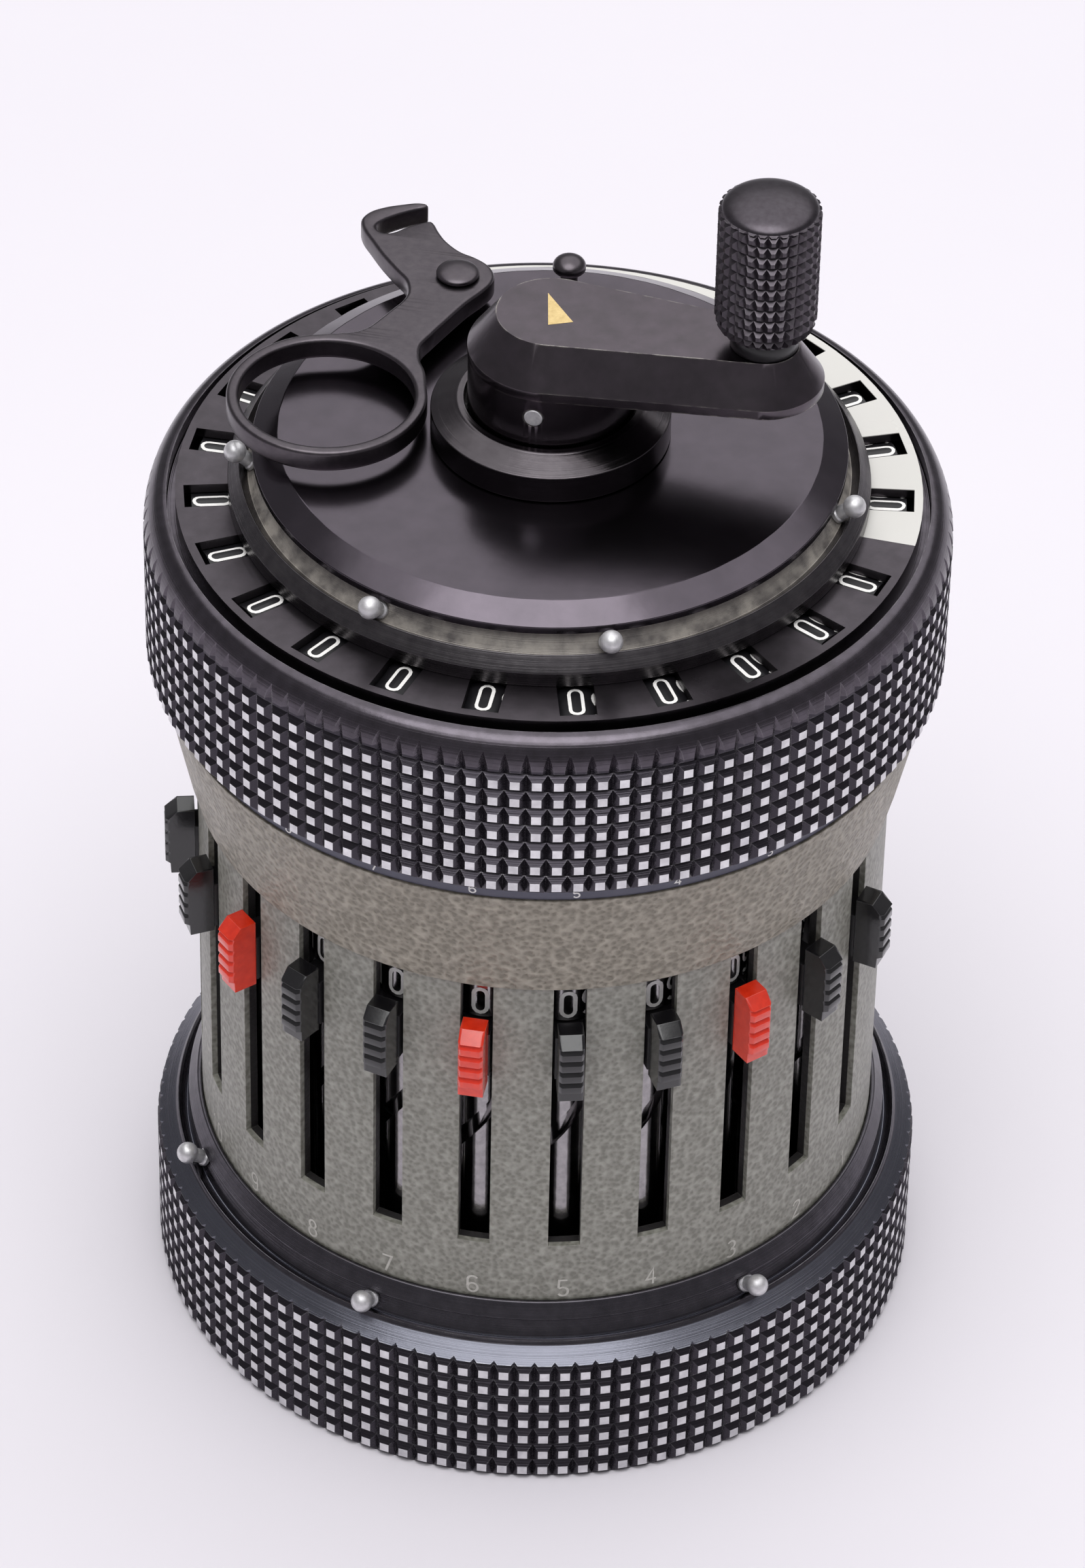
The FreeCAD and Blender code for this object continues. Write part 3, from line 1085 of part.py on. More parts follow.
arm = new_body("crank_arm")
band_sketch = new_sketch(arm, "XY_Plane", "arm_band", "armFoot")
draw_pear(band_sketch, "armHubRadius", "armEndRadius")
pad(arm, band_sketch, "armEdge - armFoot", "arm_band_pad")
low_sketch = new_sketch(arm, "XY_Plane", "arm_low", "armEdge")
draw_pear(low_sketch, "armHubRadius", "armEndRadius")
high_sketch = new_sketch(arm, "XY_Plane", "arm_high", "armTop")
draw_pear(high_sketch, "armHubTopRadius", "armEndTopRadius")
bevel = arm.newObject("PartDesign::AdditiveLoft", "arm_bevel")
bevel.Profile = low_sketch
bevel.Sections = [high_sketch]
bevel.Ruled = True
doc.recompute()
disc(arm, "0", "hubRadius", "hubFoot", "armFoot - hubFoot", "hub")
shaft_bore = new_sketch(arm, "XY_Plane", "shaft_bore", "hubFoot")
draw_circle(shaft_bore, "0", "0", "shaftRadius + seatGap")
pocket(arm, shaft_bore, "shaftTop - hubFoot", "shaft_bore_cut", True)
cross_bore = new_sketch(arm, "XZ_Plane", "cross_bore", "-hubRadius - cutBeyond")
draw_circle(cross_bore, "0", "crossPinHeight", "crossPinRadius + seatGap")
pocket(arm, cross_bore, "2 * (hubRadius + cutBeyond)", "cross_bore_cut", True)
grip_bore = new_sketch(arm, "XY_Plane", "grip_seat", "armTop")
draw_circle(grip_bore, "armLength", "0", "gripSpindleRadius + seatGap")
pocket(arm, grip_bore, "armTop - gripSpindleFoot", "grip_seat_cut")
place_about_axis(arm, crank_angle)
keep("crank_arm", arm)

cross_pin = doc.addObject("Part::Cylinder", "crank_pin")
cross_pin.setExpression("Radius", bound("crossPinRadius"))
cross_pin.setExpression("Height", bound("2 * (hubRadius + crossPinProud)"))
pin_end = Vector(0, value("hubRadius + crossPinProud"), value("crossPinHeight"))
cross_pin.Placement = Placement(crank_turn.multVec(pin_end),
                                crank_turn.multiply(Rotation(Vector(1, 0, 0), 90)))
keep("crank_pin", cross_pin)

spindle_outline = [
    ("0", "gripSpindleFoot + clearPlay"), ("gripSpindleRadius", "gripSpindleFoot + clearPlay"),
    ("gripSpindleRadius", "armTop"), ("gripCollarRadius", "armTop"),
    ("gripCollarRadius", "armTop + gripCollarHeight"),
    ("gripSpindleRadius", "armTop + gripCollarHeight"), ("gripSpindleRadius", "gripSpindleTop"),
    ("0", "gripSpindleTop")]
grip_spindle = turned_body("grip_spindle", spindle_outline)
grip = turned_body("crank_grip", [
    ("gripSpindleRadius + runningFit", "gripFoot"), ("gripRadius - gripChamfer", "gripFoot"),
    ("gripRadius", "gripFoot + gripChamfer"), ("gripRadius", "gripKnurlTop"),
    ("gripDomeRadius", "gripTop - gripCrownDrop"), ("gripCrownRadius", "gripTop"), ("0", "gripTop"),
    ("0", "gripBoreTop"), ("gripSpindleRadius + runningFit", "gripBoreTop")])
for label, item in (("grip_spindle", grip_spindle), ("crank_grip", grip)):
    item.Placement = Placement(crank_turn.multVec(Vector(value("armLength"), 0, 0)), Rotation())
    keep(label, item)

doc.recompute()

for item in doc.Objects:
    if "Invalid" in item.State or "Error" in item.State:
        raise RuntimeError("%s failed: %s" % (item.Label, item.State))
for item in sub_parts:
    if item.Shape.isNull() or not item.Shape.isValid():
        raise RuntimeError("%s has no valid shape" % item.Label)

os.makedirs("parts", exist_ok=True)
for item in sub_parts:
    item.Shape.exportStep("parts/%s.step" % item.Label)
print("%d sub-parts written" % len(sub_parts))
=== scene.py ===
import bmesh
import bpy
import json
import math
from mathutils import Matrix, Vector

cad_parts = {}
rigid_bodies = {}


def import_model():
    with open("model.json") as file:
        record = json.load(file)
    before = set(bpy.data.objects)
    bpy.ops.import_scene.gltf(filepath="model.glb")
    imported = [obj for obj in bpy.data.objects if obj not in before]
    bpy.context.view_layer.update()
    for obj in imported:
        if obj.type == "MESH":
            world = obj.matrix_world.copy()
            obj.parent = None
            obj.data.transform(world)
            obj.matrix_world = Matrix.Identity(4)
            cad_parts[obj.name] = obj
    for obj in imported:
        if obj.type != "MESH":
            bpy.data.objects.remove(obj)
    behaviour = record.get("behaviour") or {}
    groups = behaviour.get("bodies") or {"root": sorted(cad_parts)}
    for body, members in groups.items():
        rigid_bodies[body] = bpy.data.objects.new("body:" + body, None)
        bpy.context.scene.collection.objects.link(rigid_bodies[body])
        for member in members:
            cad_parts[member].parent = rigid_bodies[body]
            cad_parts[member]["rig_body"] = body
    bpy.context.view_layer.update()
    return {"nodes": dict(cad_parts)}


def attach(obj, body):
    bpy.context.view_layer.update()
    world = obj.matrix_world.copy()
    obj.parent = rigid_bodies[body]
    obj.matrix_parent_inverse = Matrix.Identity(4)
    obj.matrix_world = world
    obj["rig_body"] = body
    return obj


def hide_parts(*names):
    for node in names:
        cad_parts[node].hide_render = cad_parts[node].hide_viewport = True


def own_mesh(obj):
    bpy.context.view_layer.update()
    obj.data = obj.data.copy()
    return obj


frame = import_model()
nodes = frame["nodes"]
print("frame loaded,", len(nodes), "nodes")

mm = 0.001
fullTurn = 2 * math.pi


# colours are written as read from a screen, 0 to 255, and brought to linear values

def shade(red, green, blue):
    return tuple(((c / 255 + 0.055) / 1.055) ** 2.4 if c > 10 else c / 255 / 12.92
                 for c in (red, green, blue)) + (1.0,)


# node trees

def feed(tree, socket, item):
    if isinstance(item, bpy.types.NodeSocket):
        tree.links.new(item, socket)
    else:
        socket.default_value = item


def place(tree, kind, inputs=None, **settings):
    node = tree.nodes.new(kind)
    for word, item in settings.items():
        setattr(node, word, item)
    for key, item in (inputs or {}).items():
        feed(tree, node.inputs[key], item)
    return node


def put(tree, kind, inputs=None, **settings):
    return place(tree, "ShaderNode" + kind, inputs, **settings)


def newTree(name, kind, inputs, outputs):
    tree = bpy.data.node_groups.new(name, kind)
    for word, socketType in inputs:
        tree.interface.new_socket(word, in_out="INPUT", socket_type="NodeSocket" + socketType)
    for word, socketType in outputs:
        tree.interface.new_socket(word, in_out="OUTPUT", socket_type="NodeSocket" + socketType)
    return tree, tree.nodes.new("NodeGroupInput").outputs, tree.nodes.new("NodeGroupOutput").inputs


def calc(tree, operation, first, second):
    return put(tree, "Math", {0: first, 1: second}, operation=operation).outputs[0]


def between(tree, item, low, high):
    return calc(tree, "MULTIPLY", calc(tree, "GREATER_THAN", item, low),
                calc(tree, "LESS_THAN", item, high))


def ramp(tree, item, source, target=(0.0, 1.0)):
    return put(tree, "MapRange",
               {"Value": item, "From Min": source[0], "From Max": source[1],
                "To Min": target[0], "To Max": target[1]}).outputs["Result"]


def blendColour(tree, mask, first, second):
    node = put(tree, "Mix", {"Factor": mask, 6: first, 7: second}, data_type="RGBA")
    return node.outputs[2]


def objectPlace(tree):
    return put(tree, "TexCoord").outputs["Object"]


def split(tree, spot):
    return put(tree, "SeparateXYZ", {0: spot}).outputs


# distance from the upright axis
def reachOf(tree, parts):
    flat = put(tree, "CombineXYZ", {0: parts[0], 1: parts[1]}).outputs[0]
    return put(tree, "VectorMath", {0: flat}, operation="LENGTH").outputs["Value"]


# noise stays mostly within its range; a corner is told by how far its rounded normal turns
noise = dict(range=(0.3, 0.7), roughness=0.6, streakDetail=2.0)
wear = dict(corner=(0.995, 0.88), patches=(0.42, 0.6), detail=3.0, samples=6)

# grain: a mottled mask, from soft noise to round cells, sized in millimetres
grainTree, given, made = newTree("paintGrain", "ShaderNodeTree",
                                 [("Size", "Float"), ("Cells", "Float"), ("Detail", "Float")],
                                 [("Mask", "Float")])
density = calc(grainTree, "DIVIDE", 1 / mm, given["Size"])
spot = put(grainTree, "VectorMath", {0: objectPlace(grainTree), "Scale": density},
           operation="SCALE").outputs[0]
cloud = put(grainTree, "TexNoise",
            {"Vector": spot, "Scale": 1.0, "Detail": given["Detail"],
             "Roughness": noise["roughness"]})
bent = put(grainTree, "VectorMath", {0: spot, 1: cloud.outputs["Color"]},
           operation="ADD").outputs[0]
cells = put(grainTree, "TexVoronoi", {"Vector": bent, "Scale": 1.0},
            feature="SMOOTH_F1")
mixed = put(grainTree, "Mix", {"Factor": given["Cells"], 2: cloud.outputs[0],
                               3: cells.outputs["Distance"]}, data_type="FLOAT")
grainTree.links.new(mixed.outputs[0], made["Mask"])

# wear: bare metal along edges, broken up so that it is not an even line
wearTree, given, made = newTree("edgeWear", "ShaderNodeTree",
                                [("Width", "Float"), ("Breakup", "Float"), ("Amount", "Float")],
                                [("Mask", "Float")])
rounded = put(wearTree, "Bevel", {"Radius": given["Width"]}, samples=wear["samples"])
facing = put(wearTree, "NewGeometry")
turnedAway = put(wearTree, "VectorMath",
                 {0: rounded.outputs[0], 1: facing.outputs["Normal"]}, operation="DOT_PRODUCT")
corner = ramp(wearTree, turnedAway.outputs["Value"], wear["corner"])
patches = put(wearTree, "Group",
              {"Size": given["Breakup"], "Detail": wear["detail"]}, node_tree=grainTree)
broken = ramp(wearTree, patches.outputs[0], wear["patches"])
worn = calc(wearTree, "MULTIPLY", calc(wearTree, "MULTIPLY", corner, broken), given["Amount"])
wearTree.links.new(worn, made["Mask"])

# streaks: the turned look of a lathe, rings about the upright axis
streakTree, given, made = newTree("turnedStreaks", "ShaderNodeTree", [("Fineness", "Float")],
                                  [("Mask", "Float")])
parts = split(streakTree, objectPlace(streakTree))
ringSpot = put(streakTree, "CombineXYZ",
               {0: calc(streakTree, "MULTIPLY", reachOf(streakTree, parts), given["Fineness"]),
                1: calc(streakTree, "MULTIPLY", parts[2], given["Fineness"])})
rings = put(streakTree, "TexNoise",
            {"Vector": ringSpot.outputs[0], "Scale": 1.0, "Detail": noise["streakDetail"]})
streakTree.links.new(rings.outputs[0], made["Mask"])


def grain(tree, size, cells=0.0, detail=4.0):
    return put(tree, "Group", {"Size": size, "Cells": cells, "Detail": detail},
               node_tree=grainTree).outputs["Mask"]


def startFinish(name):
    finish = bpy.data.materials.new(name)
    finish.use_nodes = True
    tree = finish.node_tree
    return finish, tree, tree.nodes["Principled BSDF"]


# what a finish has unless its own settings say otherwise; lengths in millimetres
plainLook = dict(
    cells=0.0, detail=4.0, spread=0.05, smudgeSize=9.0, metal=0.0, depth=0.01, strength=1.0,
    wear=0.0, wearWidth=0.12, wearBreakup=0.9, streaks=0.0, streakSpread=0.06, coat=0.0,
    coatRough=0.1, paintMask=None)


# every paint, metal and plastic is built the same way from its own settings
def makeFinish(name, settings):
    look = {**plainLook, **settings}
    finish, tree, shader = startFinish(name)
    mottle = grain(tree, look["grain"], look["cells"], look["detail"])
    colour = blendColour(tree, ramp(tree, mottle, noise["range"]), shade(*look["deep"]),
                         shade(*look["colour"]))
    metal = look["metal"]
    if look["paintMask"]:
        colour, metal = look["paintMask"](tree, colour, metal)
    spread = look["spread"]
    rough = ramp(tree, grain(tree, look["smudgeSize"]), noise["range"],
                 (look["rough"] - spread, look["rough"] + spread))
    if look["wear"]:
        bare = put(tree, "Group",
                   {"Width": look["wearWidth"] * mm, "Breakup": look["wearBreakup"],
                    "Amount": look["wear"]}, node_tree=wearTree).outputs[0]
        colour = blendColour(tree, bare, colour, shade(*look["bare"]))
        metal = calc(tree, "MAXIMUM", bare, metal)
    height = mottle
    if look["streaks"]:
        streaks = put(tree, "Group", {"Fineness": look["streaks"] / mm},
                      node_tree=streakTree).outputs[0]
        height = calc(tree, "ADD", mottle, streaks)
        rough = calc(tree, "ADD", rough, ramp(tree, streaks, noise["range"],
                                              (-look["streakSpread"], look["streakSpread"])))
    bump = put(tree, "Bump", {"Height": height, "Distance": look["depth"] * mm,
                              "Strength": look["strength"]})
    for word, item in (("Base Color", colour), ("Roughness", rough), ("Normal", bump.outputs[0]),
                       ("Metallic", metal), ("Coat Weight", look["coat"]),
                       ("Coat Roughness", look["coatRough"])):
        feed(tree, shader.inputs[word], item)
    return finish


# masks for pieces that carry two paints, dirt or painted shade; each range is in millimetres, or
# degrees about Z

def heightMask(tree, low, high):
    return between(tree, split(tree, objectPlace(tree))[2], low * mm, high * mm)


def radiusMask(tree, beyond):
    reach = reachOf(tree, split(tree, objectPlace(tree)))
    return calc(tree, "GREATER_THAN", reach, beyond * mm)


# paint hides the metal under it
def paintOver(tree, mask, colour, metal, paint):
    return (blendColour(tree, mask, colour, paint),
            calc(tree, "MULTIPLY", metal, calc(tree, "SUBTRACT", 1.0, mask)))


# the cut knurling is painted darker than the smooth black beside it, as painted shade in its
# hollows; the base ring's band lighter
knurlShadeAndBand = dict(
    # knurl is the colour of the painted shade on the knurled bands
    knurl=shade(64, 61, 67), carriageKnurl=(64.6, 77.0), baseKnurl=(0.2, 12.9),
    band=shade(104, 105, 114), baseBand=(12.95, 14.08))


# paints shade over the carriage ring's knurled band
def carriageRingMask(tree, colour, metal):
    knurlShadeZone = heightMask(tree, *knurlShadeAndBand["carriageKnurl"])
    return blendColour(tree, knurlShadeZone, colour, knurlShadeAndBand["knurl"]), metal


# paints shade over the base ring's knurled band, and gives the band its own lighter colour
def baseRingMask(tree, colour, metal):
    knurlShadeZone = heightMask(tree, *knurlShadeAndBand["baseKnurl"])
    band = heightMask(tree, *knurlShadeAndBand["baseBand"])
    dark = blendColour(tree, knurlShadeZone, colour, knurlShadeAndBand["knurl"])
    return blendColour(tree, band, dark, knurlShadeAndBand["band"]), metal


# the tube is painted outside only
tubeInside = dict(within=28.1, colour=shade(46, 44, 44))


def tubeMask(tree, colour, metal):
    outside = radiusMask(tree, tubeInside["within"])
    return blendColour(tree, outside, tubeInside["colour"], colour), metal


platePaint = dict(section=(-3.75, 123.75), top=79.93, cream=shade(214, 212, 207))


# the white section is a slice of the plate, found by its angle; walls stay black
def windowPlateMask(tree, colour, metal):
    parts = split(tree, objectPlace(tree))
    angle = calc(tree, "ARCTAN2", parts[1], parts[0])
    section = between(tree, angle, *(math.radians(side) for side in platePaint["section"]))
    topFace = calc(tree, "GREATER_THAN", parts[2], platePaint["top"] * mm)
    return paintOver(tree, calc(tree, "MULTIPLY", section, topFace), colour, metal,
                     platePaint["cream"])


# years of use have left grey dirt along the bottom of the upper marker groove
grooveDirt = dict(
    radius=(22.95, 24.12), height=(81.0, 83.16), colour=shade(158, 152, 144), patchSize=2.4,
    patchDetail=6.0, patches=(0.34, 0.6), amount=(0.3, 0.95))


def markerRingMask(tree, colour, metal):
    within = calc(tree, "SUBTRACT", *(radiusMask(tree, side) for side in grooveDirt["radius"]))
    inGroove = calc(tree, "MULTIPLY", heightMask(tree, *grooveDirt["height"]), within)
    patchy = ramp(tree, grain(tree, grooveDirt["patchSize"], 0.0, grooveDirt["patchDetail"]),
                  grooveDirt["patches"], grooveDirt["amount"])
    return paintOver(tree, calc(tree, "MULTIPLY", inGroove, patchy), colour, metal,
                     grooveDirt["colour"])


# each finish mottles between its deep tone and its colour; grain and depth are in millimetres
turnedBlack = dict(grain=1.2, depth=0.012, metal=1.0, streaks=9.0)
looks = dict(
    hammertonePaint=dict(
        colour=(162, 161, 152), deep=(120, 119, 110), grain=0.42, cells=0.7, rough=0.42,
        spread=0.06, depth=0.07, strength=0.8, wear=0.35, bare=(188, 186, 178),
        paintMask=tubeMask),
    cratedPaint=dict(
        colour=(168, 161, 147), deep=(122, 116, 103), grain=0.5, cells=0.75, detail=6.0,
        rough=0.42, spread=0.08, depth=0.2, wear=0.3, bare=(190, 184, 172)),
    bandPaint=dict(
        colour=(90, 90, 106), deep=(78, 78, 94), grain=2.0, rough=0.34, spread=0.06, wear=0.5,
        bare=(180, 180, 186)),
    ringBlack=dict(
        **turnedBlack, colour=(93, 88, 95), deep=(79, 75, 80), rough=0.24, wear=0.35,
        bare=(170, 168, 170), paintMask=carriageRingMask),
    baseRingBlack=dict(
        **turnedBlack, colour=(93, 90, 96), deep=(79, 77, 82), rough=0.27, wear=0.4,
        bare=(176, 176, 178), paintMask=baseRingMask),
    markerRingBlack=dict(
        **turnedBlack, colour=(95, 92, 94), deep=(78, 75, 78), rough=0.28, wear=0.35,
        bare=(150, 146, 142), paintMask=markerRingMask),
    plateBlack=dict(
        colour=(87, 81, 88), deep=(80, 75, 81), grain=2.6, rough=0.19, spread=0.03, depth=0.006,
        metal=1.0, wear=0.4, bare=(150, 146, 144), smudgeSize=14.0),
    collarBlack=dict(
        colour=(85, 81, 84), deep=(75, 71, 74), grain=1.6, rough=0.22, metal=1.0, wear=0.5,
        bare=(160, 152, 142), streaks=7.0),
    leverBlack=dict(
        colour=(92, 87, 91), deep=(83, 78, 83), grain=0.7, rough=0.32, depth=0.012, metal=1.0,
        wear=0.3, bare=(140, 136, 136)),
    armBlack=dict(
        colour=(91, 84, 90), deep=(82, 77, 81), grain=1.4, rough=0.23, spread=0.04, depth=0.008,
        metal=1.0, wear=0.85, bare=(204, 200, 190), wearBreakup=1.6, wearWidth=0.2),
    windowPaint=dict(
        colour=(84, 79, 84), deep=(74, 70, 74), grain=1.5, rough=0.3, metal=1.0,
        paintMask=windowPlateMask),
    bareTips=dict(
        colour=(232, 231, 233), deep=(196, 195, 198), grain=1.3, rough=0.36, spread=0.1,
        depth=0.02, metal=0.8),
    aluminium=dict(
        colour=(226, 225, 226), deep=(196, 195, 198), grain=0.5, rough=0.44, spread=0.09,
        depth=0.02, metal=0.7),
    turnedAluminium=dict(
        colour=(190, 190, 192), deep=(158, 158, 162), grain=1.0, rough=0.38, spread=0.08,
        depth=0.015, metal=1.0, streaks=6.0),
    spindleSteel=dict(
        colour=(168, 165, 166), deep=(138, 135, 137), grain=0.8, rough=0.15, depth=0.012,
        metal=1.0),
    steel=dict(
        colour=(172, 170, 168), deep=(140, 138, 138), grain=0.9, rough=0.3, spread=0.08,
        depth=0.015, metal=1.0),
    blackenedSteel=dict(
        colour=(30, 29, 31), deep=(20, 19, 21), grain=0.9, rough=0.36, spread=0.08, depth=0.015),
    redPlastic=dict(
        colour=(240, 58, 30), deep=(222, 46, 22), grain=0.8, rough=0.2, wear=0.3,
        bare=(250, 140, 104), coat=0.6),
    blackPlastic=dict(
        colour=(25, 24, 26), deep=(18, 17, 19), grain=0.6, rough=0.2, depth=0.012, wear=0.4,
        bare=(140, 140, 142), coat=0.5),
    gripBlack=dict(
        colour=(84, 80, 85), deep=(74, 69, 74), grain=0.5, rough=0.34, depth=0.008, metal=1.0,
        wear=0.35, bare=(150, 146, 150), wearWidth=0.06),
    dialBlack=dict(
        colour=(26, 25, 28), deep=(18, 17, 20), grain=0.7, rough=0.38, spread=0.06),
    digitWhite=dict(
        colour=(252, 250, 247), deep=(238, 236, 233), grain=0.35, rough=0.5, spread=0.06),
    faintWhite=dict(
        colour=(204, 202, 194), deep=(176, 174, 166), grain=0.5, rough=0.5, spread=0.06),
    arrowGold=dict(
        colour=(232, 206, 146), deep=(208, 180, 120), grain=0.4, rough=0.42, spread=0.06,
        depth=0.02, metal=0.3))
finishes = {name: makeFinish(name, look) for name, look in looks.items()}
print("finishes made,", len(finishes))

# mesh helpers; points nearer together than a weld distance become one

weld = dict(made=0.002, copied=0.0015, ring=0.003)
softening = dict(flat=1.0, bevelFrom=22, sharpFrom=50)
easing = dict(most=0.45, steps=3)


def newPiece(name, mesh):
    piece = bpy.data.objects.new(name, mesh)
    bpy.context.scene.collection.objects.link(piece)
    return piece


def dress(mesh, finish):
    mesh.materials.clear()
    mesh.materials.append(finishes[finish])


def shadeByAngle(mesh, angle):
    mesh.shade_smooth()
    mesh.set_sharp_from_angle(angle=math.radians(angle))


def meshFrom(name, points, faces, used):
    mesh = bpy.data.meshes.new(name)
    mesh.from_pydata([Vector(p) * mm for p in points], [], faces)
    for word in used:
        mesh.materials.append(finishes[word])
    return mesh


def weldedShape(mesh, reach):
    shape = bmesh.new()
    shape.from_mesh(mesh)
    bmesh.ops.remove_doubles(shape, verts=shape.verts, dist=reach * mm)
    return shape


def putBack(shape, mesh):
    shape.to_mesh(mesh)
    shape.free()


def tidyMesh(mesh):
    shape = weldedShape(mesh, weld["made"])
    bmesh.ops.recalc_face_normals(shape, faces=shape.faces)
    putBack(shape, mesh)


def evaluatedMesh(piece):
    bpy.context.view_layer.update()
    seen = piece.evaluated_get(bpy.context.evaluated_depsgraph_get())
    return bpy.data.meshes.new_from_object(seen)


# the evaluated result becomes the piece's own plain mesh
def settle(piece):
    mesh = evaluatedMesh(piece)
    piece.modifiers.clear()
    old = piece.data
    piece.data = mesh
    bpy.data.meshes.remove(old)
    mesh.name = piece.name


def breakEdges(piece, width, segments, angle):
    bevel = piece.modifiers.new("edges", "BEVEL")
    bevel.width = width * mm
    bevel.segments = segments
    bevel.limit_method = "ANGLE"
    bevel.angle_limit = math.radians(angle)
    settle(piece)


# points along an arc of a circle or an ellipse, in degrees
def arcLine(x, y, across, up, start, end, steps):
    return [(x + across * math.cos(math.radians(start + (end - start) * s / steps)),
             y + up * math.sin(math.radians(start + (end - start) * s / steps)))
            for s in range(steps + 1)]


def around(radius, angle, height=0.0):
    return radius * math.cos(angle), radius * math.sin(angle), height


# rounds each corner of an open outline by a short arc
def easeCorners(outline, size):
    spots = [Vector(spot) for spot in outline]
    eased = [tuple(spots[0])]
    for last, here, following in zip(spots, spots[1:], spots[2:]):
        before = last - here
        after = following - here
        cut = min(size, before.length * easing["most"], after.length * easing["most"])
        start = here + before.normalized() * cut
        end = here + after.normalized() * cut
        for step in range(easing["steps"] + 1):
            t = step / easing["steps"]
            eased.append(tuple(start * (1 - t) ** 2 + here * 2 * t * (1 - t) + end * t ** 2))
    return [*eased, tuple(spots[-1])]


def turnedMesh(name, outline, finish, steps):
    points = [around(radius, fullTurn * step / steps, height)
              for radius, height in outline for step in range(steps)]
    faces = []
    for low in range(0, (len(outline) - 1) * steps, steps):
        for step in range(steps):
            after = (step + 1) % steps
            faces.append((low + step, low + after, low + steps + after, low + steps + step))
    mesh = meshFrom(name, points, faces, [finish])
    tidyMesh(mesh)
    return mesh


# normals are weighted by area, so that a flat face mirrors as a flat one up to its rounded edge
def rideWith(piece, node):
    piece.modifiers.new("normals", "WEIGHTED_NORMAL").keep_sharp = True
    settle(piece)
    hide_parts(node)
    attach(piece, nodes[node]["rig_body"])
    return piece


# a welded copy of a CAD node with its edges broken by a small bevel
def softenedCopy(node, finish, width=0.0, segments=2):
    mesh = nodes[node].data.copy()
    shape = weldedShape(mesh, weld["copied"])
    bmesh.ops.dissolve_limit(shape, angle_limit=math.radians(softening["flat"]),
                             verts=shape.verts, edges=shape.edges)
    putBack(shape, mesh)
    dress(mesh, finish)
    piece = newPiece(node + "Finished", mesh)
    if width:
        breakEdges(piece, width, segments, softening["bevelFrom"])
    shadeByAngle(piece.data, softening["sharpFrom"])
    return rideWith(piece, node)


# copies of one small shape turned about Z, joined to the piece's own mesh
ringTree, given, made = newTree(
    "ringOfCopies", "GeometryNodeTree",
    [("Geometry", "Geometry"), ("Shape", "Object"), ("Count", "Int"), ("Start", "Float"),
     ("Step", "Float"), ("Finish", "Material"), ("Tip Finish", "Material"),
     ("Tips Beyond", "Float")],
    [("Geometry", "Geometry")])
ringTree.is_modifier = True
line = place(ringTree, "GeometryNodeMeshLine", {"Count": given["Count"], "Offset": (0, 0, 0)})
turn = put(ringTree, "Math",
           {0: place(ringTree, "GeometryNodeInputIndex").outputs[0], 1: given["Step"],
            2: given["Start"]}, operation="MULTIPLY_ADD").outputs[0]
spin = put(ringTree, "CombineXYZ", {2: turn}).outputs[0]
toRotation = place(ringTree, "FunctionNodeEulerToRotation", {0: spin}).outputs[0]
shapeInfo = place(ringTree, "GeometryNodeObjectInfo", {"Object": given["Shape"]})
copies = place(ringTree, "GeometryNodeInstanceOnPoints",
               {"Points": line.outputs[0], "Instance": shapeInfo.outputs["Geometry"],
                "Rotation": toRotation})
both = place(ringTree, "GeometryNodeJoinGeometry", {0: given["Geometry"]})
ringTree.links.new(copies.outputs[0], both.inputs[0])
real = place(ringTree, "GeometryNodeRealizeInstances", {0: both.outputs[0]})
welded = place(ringTree, "GeometryNodeMergeByDistance",
               {"Geometry": real.outputs[0], "Distance": weld["ring"] * mm})
painted = place(ringTree, "GeometryNodeSetMaterial",
                {"Geometry": welded.outputs[0], "Material": given["Finish"]})
parts = split(ringTree, place(ringTree, "GeometryNodeInputPosition").outputs[0])
beyond = place(ringTree, "FunctionNodeCompare",
               {0: reachOf(ringTree, parts), 1: given["Tips Beyond"]},
               data_type="FLOAT", operation="GREATER_THAN").outputs[0]
tipped = place(ringTree, "GeometryNodeSetMaterial",
               {"Geometry": painted.outputs[0], "Selection": beyond,
                "Material": given["Tip Finish"]})
ringTree.links.new(tipped.outputs[0], made["Geometry"])


# distances in metres; without a tip finish, the tips begin beyond anything here
def ringOfCopies(piece, copied, count, step, finish, start=0.0, tipFinish=None,
                 tipsBeyond=1.0):
    settings = {"Shape": copied, "Count": count, "Start": start, "Step": step,
                "Finish": finishes[finish], "Tip Finish": finishes[tipFinish or finish],
                "Tips Beyond": tipsBeyond}
    modifier = piece.modifiers.new("ring", "NODES")
    modifier.node_group = ringTree
    for item in ringTree.interface.items_tree:
        if item.in_out == "INPUT" and item.name in settings:
            modifier[item.identifier] = settings[item.name]
    settle(piece)
    bpy.data.objects.remove(copied)


